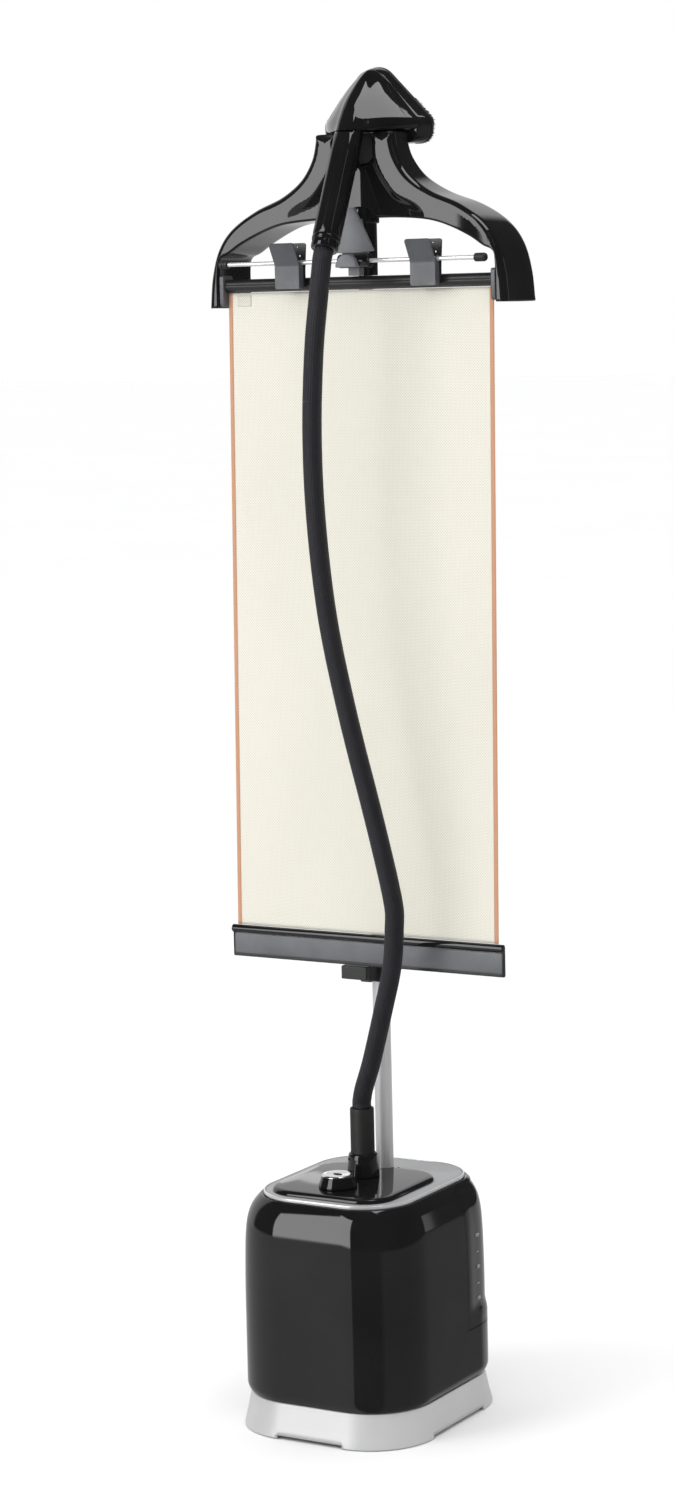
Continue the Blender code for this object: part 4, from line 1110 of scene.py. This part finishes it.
HEAD_SLICES = [
    (1.6197, 0.06, 0.0212, 0.017), (1.624, 0.0655, 0.0233, 0.017), (1.6335, 0.0655, 0.0278, 0.0167),
    (1.642, 0.059, 0.032, 0.016), (1.65, 0.0523, 0.0362, 0.0152), (1.66, 0.0438, 0.0428, 0.014),
    (1.67, 0.0353, 0.0505, 0.012), (1.68, 0.0262, 0.0585, 0.0095), (1.687, 0.0185, 0.064, 0.007),
    (1.6925, 0.012, 0.069, 0.0045), (1.6955, 0.007, 0.072, 0.0025),
]
HEAD_BACK_Y, HEAD_FLOOR = 0.076, 1.605


def cheek_end(back, nose_y, nose_r):
    """Where a straight cheek runs into the round nose, and the angle it meets it at."""
    angle = min(1.1, max(0.2, 0.92 * math.atan2(back - nose_r, HEAD_BACK_Y - nose_y)))
    return angle, Vector((nose_r * math.cos(angle), nose_y - 1.107 * nose_r * math.sin(angle)))


def head_slice(z, back, nose_y, nose_r):
    """A level slice of the head's front: a straight back, bowed cheeks and a round nose."""
    ring = [(back, HEAD_BACK_Y + 0.004, z)]
    first, stop = cheek_end(back, nose_y, nose_r)
    start = Vector((back, HEAD_BACK_Y))
    for i in range(10):
        t = i / 10
        bow = 0.002 * math.sin(math.pi * min(1.0, t * 1.05)) * min(1.0, back / 0.04)
        x, y = start.lerp(stop, t) + Vector((bow, -bow))
        ring.append((x, y, z))
    for i in range(33):
        angle = first + (math.pi - 2 * first) * i / 32
        ring.append((nose_r * math.cos(angle), nose_y - 1.107 * nose_r * math.sin(angle), z))
    return ring + [(-x, y, z) for x, y, z in reversed(ring[:11])]


def head_outline(y, floor, scale, steps=12):
    """The head's outline at a depth: a flat foot, upright cheeks and sides that rise to the apex."""
    half, shoulder, top = 0.078 * scale, floor + 0.0285, 1.7007 - 0.011 * (1 - scale)
    corners = [Vector(c) for c in ((-half * 0.96, floor), (half * 0.96, floor), (half, shoulder),
                                   (0, top + 0.0108), (-half, shoulder))]
    outline = []
    for i, radius in enumerate((0.015, 0.015, 0.014, 0.026, 0.014)):
        here = corners[i]
        back, ahead = (corners[i - 1] - here).normalized(), (corners[(i + 1) % 5] - here).normalized()
        half_angle = back.angle(ahead) / 2
        centre = here + (back + ahead).normalized() * radius / math.sin(half_angle)
        first = here + back * radius / math.tan(half_angle) - centre
        turn = first.angle_signed(here + ahead * radius / math.tan(half_angle) - centre)
        outline += [centre + Matrix.Rotation(-turn * step / steps, 2) @ first for step in range(steps + 1)]
    return [(x, y, z) for x, z in outline]


def head_surface(z, along):
    """A point on the right cheek at a height: along is 0 at the back and 1 at the nose."""
    levels = [level[0] for level in HEAD_SLICES]
    back, nose_y, nose_r = (float(np.interp(z, levels, [level[i] for level in HEAD_SLICES])) for i in (1, 2, 3))
    start, stop = Vector((back, HEAD_BACK_Y)), cheek_end(back, nose_y, nose_r)[1]
    bow = 0.002 * math.sin(math.pi * min(1.0, along * 1.05)) * min(1.0, back / 0.04)
    spot = start.lerp(stop, along) + Vector((bow, -bow))
    return Vector((spot.x, spot.y, z))


def head_layers(name, finish, node, *levels):
    """A part of the head made of its outline, at (depth, scale) levels."""
    loft(name, [head_outline(y, HEAD_FLOOR, scale) for y, scale in levels], finish, node)


def steam_head():
    """A wedge whose front edge carries on from the handle, on a plate that faces the back."""
    slices = smooth_curve([Vector(level) for level in HEAD_SLICES], 6)
    slices = [(z, back, nose_y, max(0.002, nose_r)) for z, back, nose_y, nose_r in slices]
    first = slices[0]
    lip = [(first[0] + rise, first[1] - drawn, first[2] + drawn, first[3] - drawn)
           for rise, drawn in ((-0.0001, 0.0022), (0.0001, 0.001), (0.0006, 0.0003))]
    loft("head_front", [head_slice(*level) for level in [*lip, *slices[1:]]], "gloss_black", "head_shell", sharp=60)
    head_layers("head_back", "gloss_black", "head_shell", (0.0928, 0.975), (0.0922, 0.984), (0.09, 0.975),
                (0.087, 0.955), (0.084, 0.93), (0.08, 0.893), (0.0775, 0.868), (0.0764, 0.85), (0.076, 0.83))
    seam = [head_surface(1.678 - 0.042 * t, 0.165 + 0.04 * math.sin(math.pi * t)) for t in heights(0, 1, 14)]
    for side, sign in reversed(SIGNS.items()):
        path = [(sign * (p.x + 0.0001), p.y - 0.0001, p.z) for p in seam]
        wire(f"head_seam_{side}", path, 0.00028, "seam", "head_shell", 8, **DETAIL)
    head_layers("brush_gasket", "rubber", "brush_rim", (0.0931, 0.985), (0.0938, 1.0), (0.0968, 1.0),
                (0.0979, 0.99), (0.098, 0.98))
    head_layers("steam_plate", "steel", "soleplate", (0.0981, 0.955), (0.1004, 0.955), (0.101, 0.945))
    head_trim()


def head_trim():
    """Bristles along both sides of the plate, and its rows of steam holes as near-black discs: painted shade inside
    the holes.
    """
    rng = np.random.default_rng(11)
    bm = bmesh.new()
    outline = [Vector((x, z)) for x, _, z in head_outline(0, HEAD_FLOOR, 0.975)]
    ring = even([*outline, outline[0]], 0.0021)
    for x, z in ring:
        if abs(x) < 0.05 or z > 1.672:
            continue
        for _ in range(2):
            a, b = rng.uniform(-0.0006, 0.0006, 2)
            base = Vector((x + a, 0.0975, z + b))
            made = bmesh.ops.create_cone(bm, cap_ends=True, segments=6, radius1=0.00042, radius2=0.00028,
                                         depth=0.0052)
            tip = Vector((rng.uniform(-0.12, 0.12), 1.0, rng.uniform(-0.12, 0.12))).normalized()
            spin = tip.to_track_quat("Z", "Y").to_matrix().to_4x4()
            bmesh.ops.transform(bm, matrix=Matrix.Translation(base + tip * 0.0026) @ spin, verts=made["verts"])
    place("bristles", solid("bristles", bm), "rubber", "brush_rim", replaced=False)
    bm = bmesh.new()
    holes = [(x, z) for z, reach in ((1.616, 0.06), (1.628, 0.054), (1.642, 0.04), (1.656, 0.026), (1.67, 0.012))
             for x in np.linspace(-reach, reach, max(2, round(reach / 0.006)))]
    for x, z in holes:
        skin(bm, [[(x + r * c, y, z + r * s) for c, s in circle(20)]
                  for r, y in ((0.0019, 0.1009), (0.0019, 0.1013), (0.0013, 0.10115))], caps=(True, True))
    # Near-black discs stand for the holes: painted shade inside them.
    place("steam_holes", solid("steam_holes", bm, sharp=40), "seam", "soleplate", **DETAIL)


def handle_point(z):
    """Where the handle's axis is at a height; it leans forward towards its foot."""
    return Vector((0.0, 0.0212 - (HANDLE_TOP - z) * HANDLE_LEAN, z))


def handle():
    """The grip, which meets the head level, its collar and the collar's two snap pins."""
    lean = Vector((0, HANDLE_LEAN, 1)).normalized()
    across = Vector((0, 1, -HANDLE_LEAN)).normalized()
    power = 2 / 2.35
    rings = []
    for z, scale in ((HANDLE_TOP, 1.0), (1.61, 1.0), (1.59, 1.0), (1.55, 1.0), (1.52, 1.0), (1.499, 1.0),
                     (1.4925, 1.0), (1.4905, 0.99), (1.4893, 0.965), (1.489, 0.93)):
        deep = Vector((0, 1, 0)) if z == HANDLE_TOP else across
        rings.append([handle_point(z) + Vector((math.copysign(abs(c) ** power, c) * HANDLE_R * scale, 0, 0))
                      + deep * math.copysign(abs(s) ** power, s) * HANDLE_R * scale for c, s in circle(SIDES)])
    loft("grip", rings, "gloss_black", "handle", sharp=60)
    foot = handle_point(1.4886)
    collar = [(0, 0.0), (0.0176, 0.0), (0.0178, -0.002), (0.0176, -0.0046), (0.0168, -0.0052), (0.017, -0.011),
              (0.0166, -0.015), (0.015, -0.0162), (0, -0.0162)]
    lathe("grip_collar", collar, foot, "gloss_black", "handle_collar", ease=0.0009, lean=lean)
    for tag, angle in (("a", -118), ("b", -62)):
        out = (Vector((math.cos(math.radians(angle)), 0, 0)) + across * math.sin(math.radians(angle))).normalized()
        spot = foot - lean * 0.0085 + out * 0.0166
        lathe(f"snap_{tag}", [(0, 0.0013), (0.0012, 0.0011), (0.002, 0.0004), (0.0024, -0.0006), (0, -0.0006)], spot,
              "gloss_black", "handle_collar", lean=out, sides=32, replaced=False)


# ---------- what stays as packed ----------

KEPT = {
    "base_tray": "satin_black", "tank_shelf": "satin_black", "tank_cap": "satin_black", "boiler": "aluminium",
    "pump": "white_nylon", "control_board": "board", "steam_pipe": "copper", "cord_gland": "rubber",
    "pole_socket": "satin_black",
}


def dress_remaining():
    """Every CAD node that still shows gets a material of its finish."""
    for name, thing in frame["nodes"].items():
        finish = "rubber" if name.startswith("foot_") else KEPT.get(name)
        if finish:
            thing.data.materials.clear()
            thing.data.materials.append(MATERIALS[finish])


# ---------- floor, light and surroundings ----------

def floor():
    mesh = bpy.data.meshes.new("floor")
    mesh.from_pydata([(-60, -60, 0), (60, -60, 0), (60, 60, 0), (-60, 60, 0)], [], [(0, 1, 2, 3)])
    thing = new_object("floor", mesh)
    material, graph = new_material("floor", Roughness=0.9, Specular_IOR_Level=0.1)
    cloud = graph.noise(graph.stretched(), 0.6, 2.0)
    graph.dress(Base_Color=graph.mix(cloud, (0.9, 0.9, 0.9), (0.92, 0.92, 0.92)))
    mesh.materials.append(material)
    thing.visible_glossy = False


def lamp(name, spot, aim, size, power, mirrored=False):
    """A lamp that lights matt surfaces, or one that is only mirrored in glossy ones."""
    data = bpy.data.lights.new(name, "AREA")
    data.shape, data.size, data.size_y, data.energy = "RECTANGLE", size[0], size[1], power
    thing = new_object(name, data)
    thing.location = spot
    thing.rotation_euler = (Vector(aim) - Vector(spot)).to_track_quat("-Z", "Y").to_euler()
    thing.visible_camera = False
    thing.visible_diffuse = not mirrored
    thing.visible_glossy = mirrored


def window(graph, value, low, high, soft, smooth=True):
    """One where a value is between two others, and nought outside them."""
    return graph.math("MULTIPLY", graph.ramp(value, low - soft, low + soft, smooth=smooth),
                      graph.ramp(value, high - soft, high + soft, 1.0, 0.0, smooth=smooth))


PANELS = [  # turn from, to; height from, to; softness across, up; brightness
    (-200, -9.5, -95, -4.6, 1.0, 1.0, 0.55),    # the table, seen in the lower front
    (-9.5, 46, -95, -4.6, 1.5, 1.0, 0.05),      # the dark camera side
    (46, 160, -95, -5.0, 5.0, 1.0, 0.2),       # the table on the right
    (160, 200, -95, -5.0, 5.0, 1.0, 0.5),      # and behind
    (-38, -9.5, -4.6, 44, 1.0, 1.2, 4.8),       # the key softbox
    (-172, -92, -5.0, 42, 5.0, 3.0, 0.75),      # pale wall on the left
]
STRIP = (0.823, 0.835, 0.002, -4.0, 15.0, 0.8)  # behind: depth from, to; softness; height from, to; brightness


def surroundings():
    """White for the camera, even light for matt surfaces, and a studio of panels for glossy ones."""
    world = bpy.data.worlds.new("studio")
    bpy.context.scene.world = world
    world.use_nodes = True
    graph = Graph(world.node_tree)
    world.node_tree.nodes.clear()
    heading = graph.add("ShaderNodeSeparateXYZ", graph.add("ShaderNodeTexCoord").outputs["Generated"])
    back = graph.math("MULTIPLY", heading.outputs[1], -1.0)
    turn = graph.math("MULTIPLY", graph.math("ARCTAN2", heading.outputs[0], back), 180 / math.pi)
    lift = graph.math("MULTIPLY", graph.math("ARCSINE", heading.outputs[2]), 180 / math.pi)
    lit = [(window(graph, turn, left, right, soft), window(graph, lift, foot, top, soft_end), level)
           for left, right, foot, top, soft, soft_end, level in PANELS]
    left, right, soft, foot, top, level = STRIP
    lit.append((window(graph, heading.outputs[1], left, right, soft),
                window(graph, lift, foot, top, 0.4, smooth=False), level))
    total = 0.05  # brightness where no panel is
    for sides, ends, level in lit:
        total = graph.math("ADD", total, graph.math("MULTIPLY", graph.math("MULTIPLY", sides, ends), level))
    rays = graph.add("ShaderNodeLightPath").outputs
    glossy, matt, seen = (graph.add("ShaderNodeBackground", (1, 1, 1, 1), level) for level in (total, 0.72, 1.0))
    mixed = graph.add("ShaderNodeMixShader", rays["Is Glossy Ray"], matt.outputs[0], glossy.outputs[0])
    final = graph.add("ShaderNodeMixShader", rays["Is Camera Ray"], mixed.outputs[0], seen.outputs[0])
    output = graph.add("ShaderNodeOutputWorld")
    graph.feed(output.inputs["Surface"], final.outputs[0])
    lamp("key", (-1.7, -2.6, 2.4), (0, 0, 0.9), (1.6, 2.0), 40)
    lamp("fill", (2.6, -2.2, 2.0), (0, 0, 0.7), (1.6, 2.0), 14)
    head = Vector((0.03, 0.04, 1.655))
    lamp("head_softbox", head + Vector((0.44, -0.06, 0.8)), head, (0.62, 0.5), 4.6747, mirrored=True)
    grip = Vector((0.008, -0.012, 1.56))
    lamp("grip_strip", grip + Vector((0.6, -0.3, 0.4)), grip, (0.03, 0.3), 0.05655, mirrored=True)
    sky = new_object("sky", bpy.data.lights.new("sky", "SUN"))
    sky.data.energy, sky.data.angle = 1.25, math.radians(80)
    sky.visible_glossy = False
    bpy.context.scene.view_settings.view_transform = "Standard"


camera()
hoses()
for build in (skirt, housing, deck, knob, hose_fittings, pole, rail_holder, hanger, bracket, trouser_bar, cassette,
              screen, bottom_rail, steam_head, handle, dress_remaining, floor, surroundings):
    build()
for side_name in CLIP_X:
    clip(side_name)
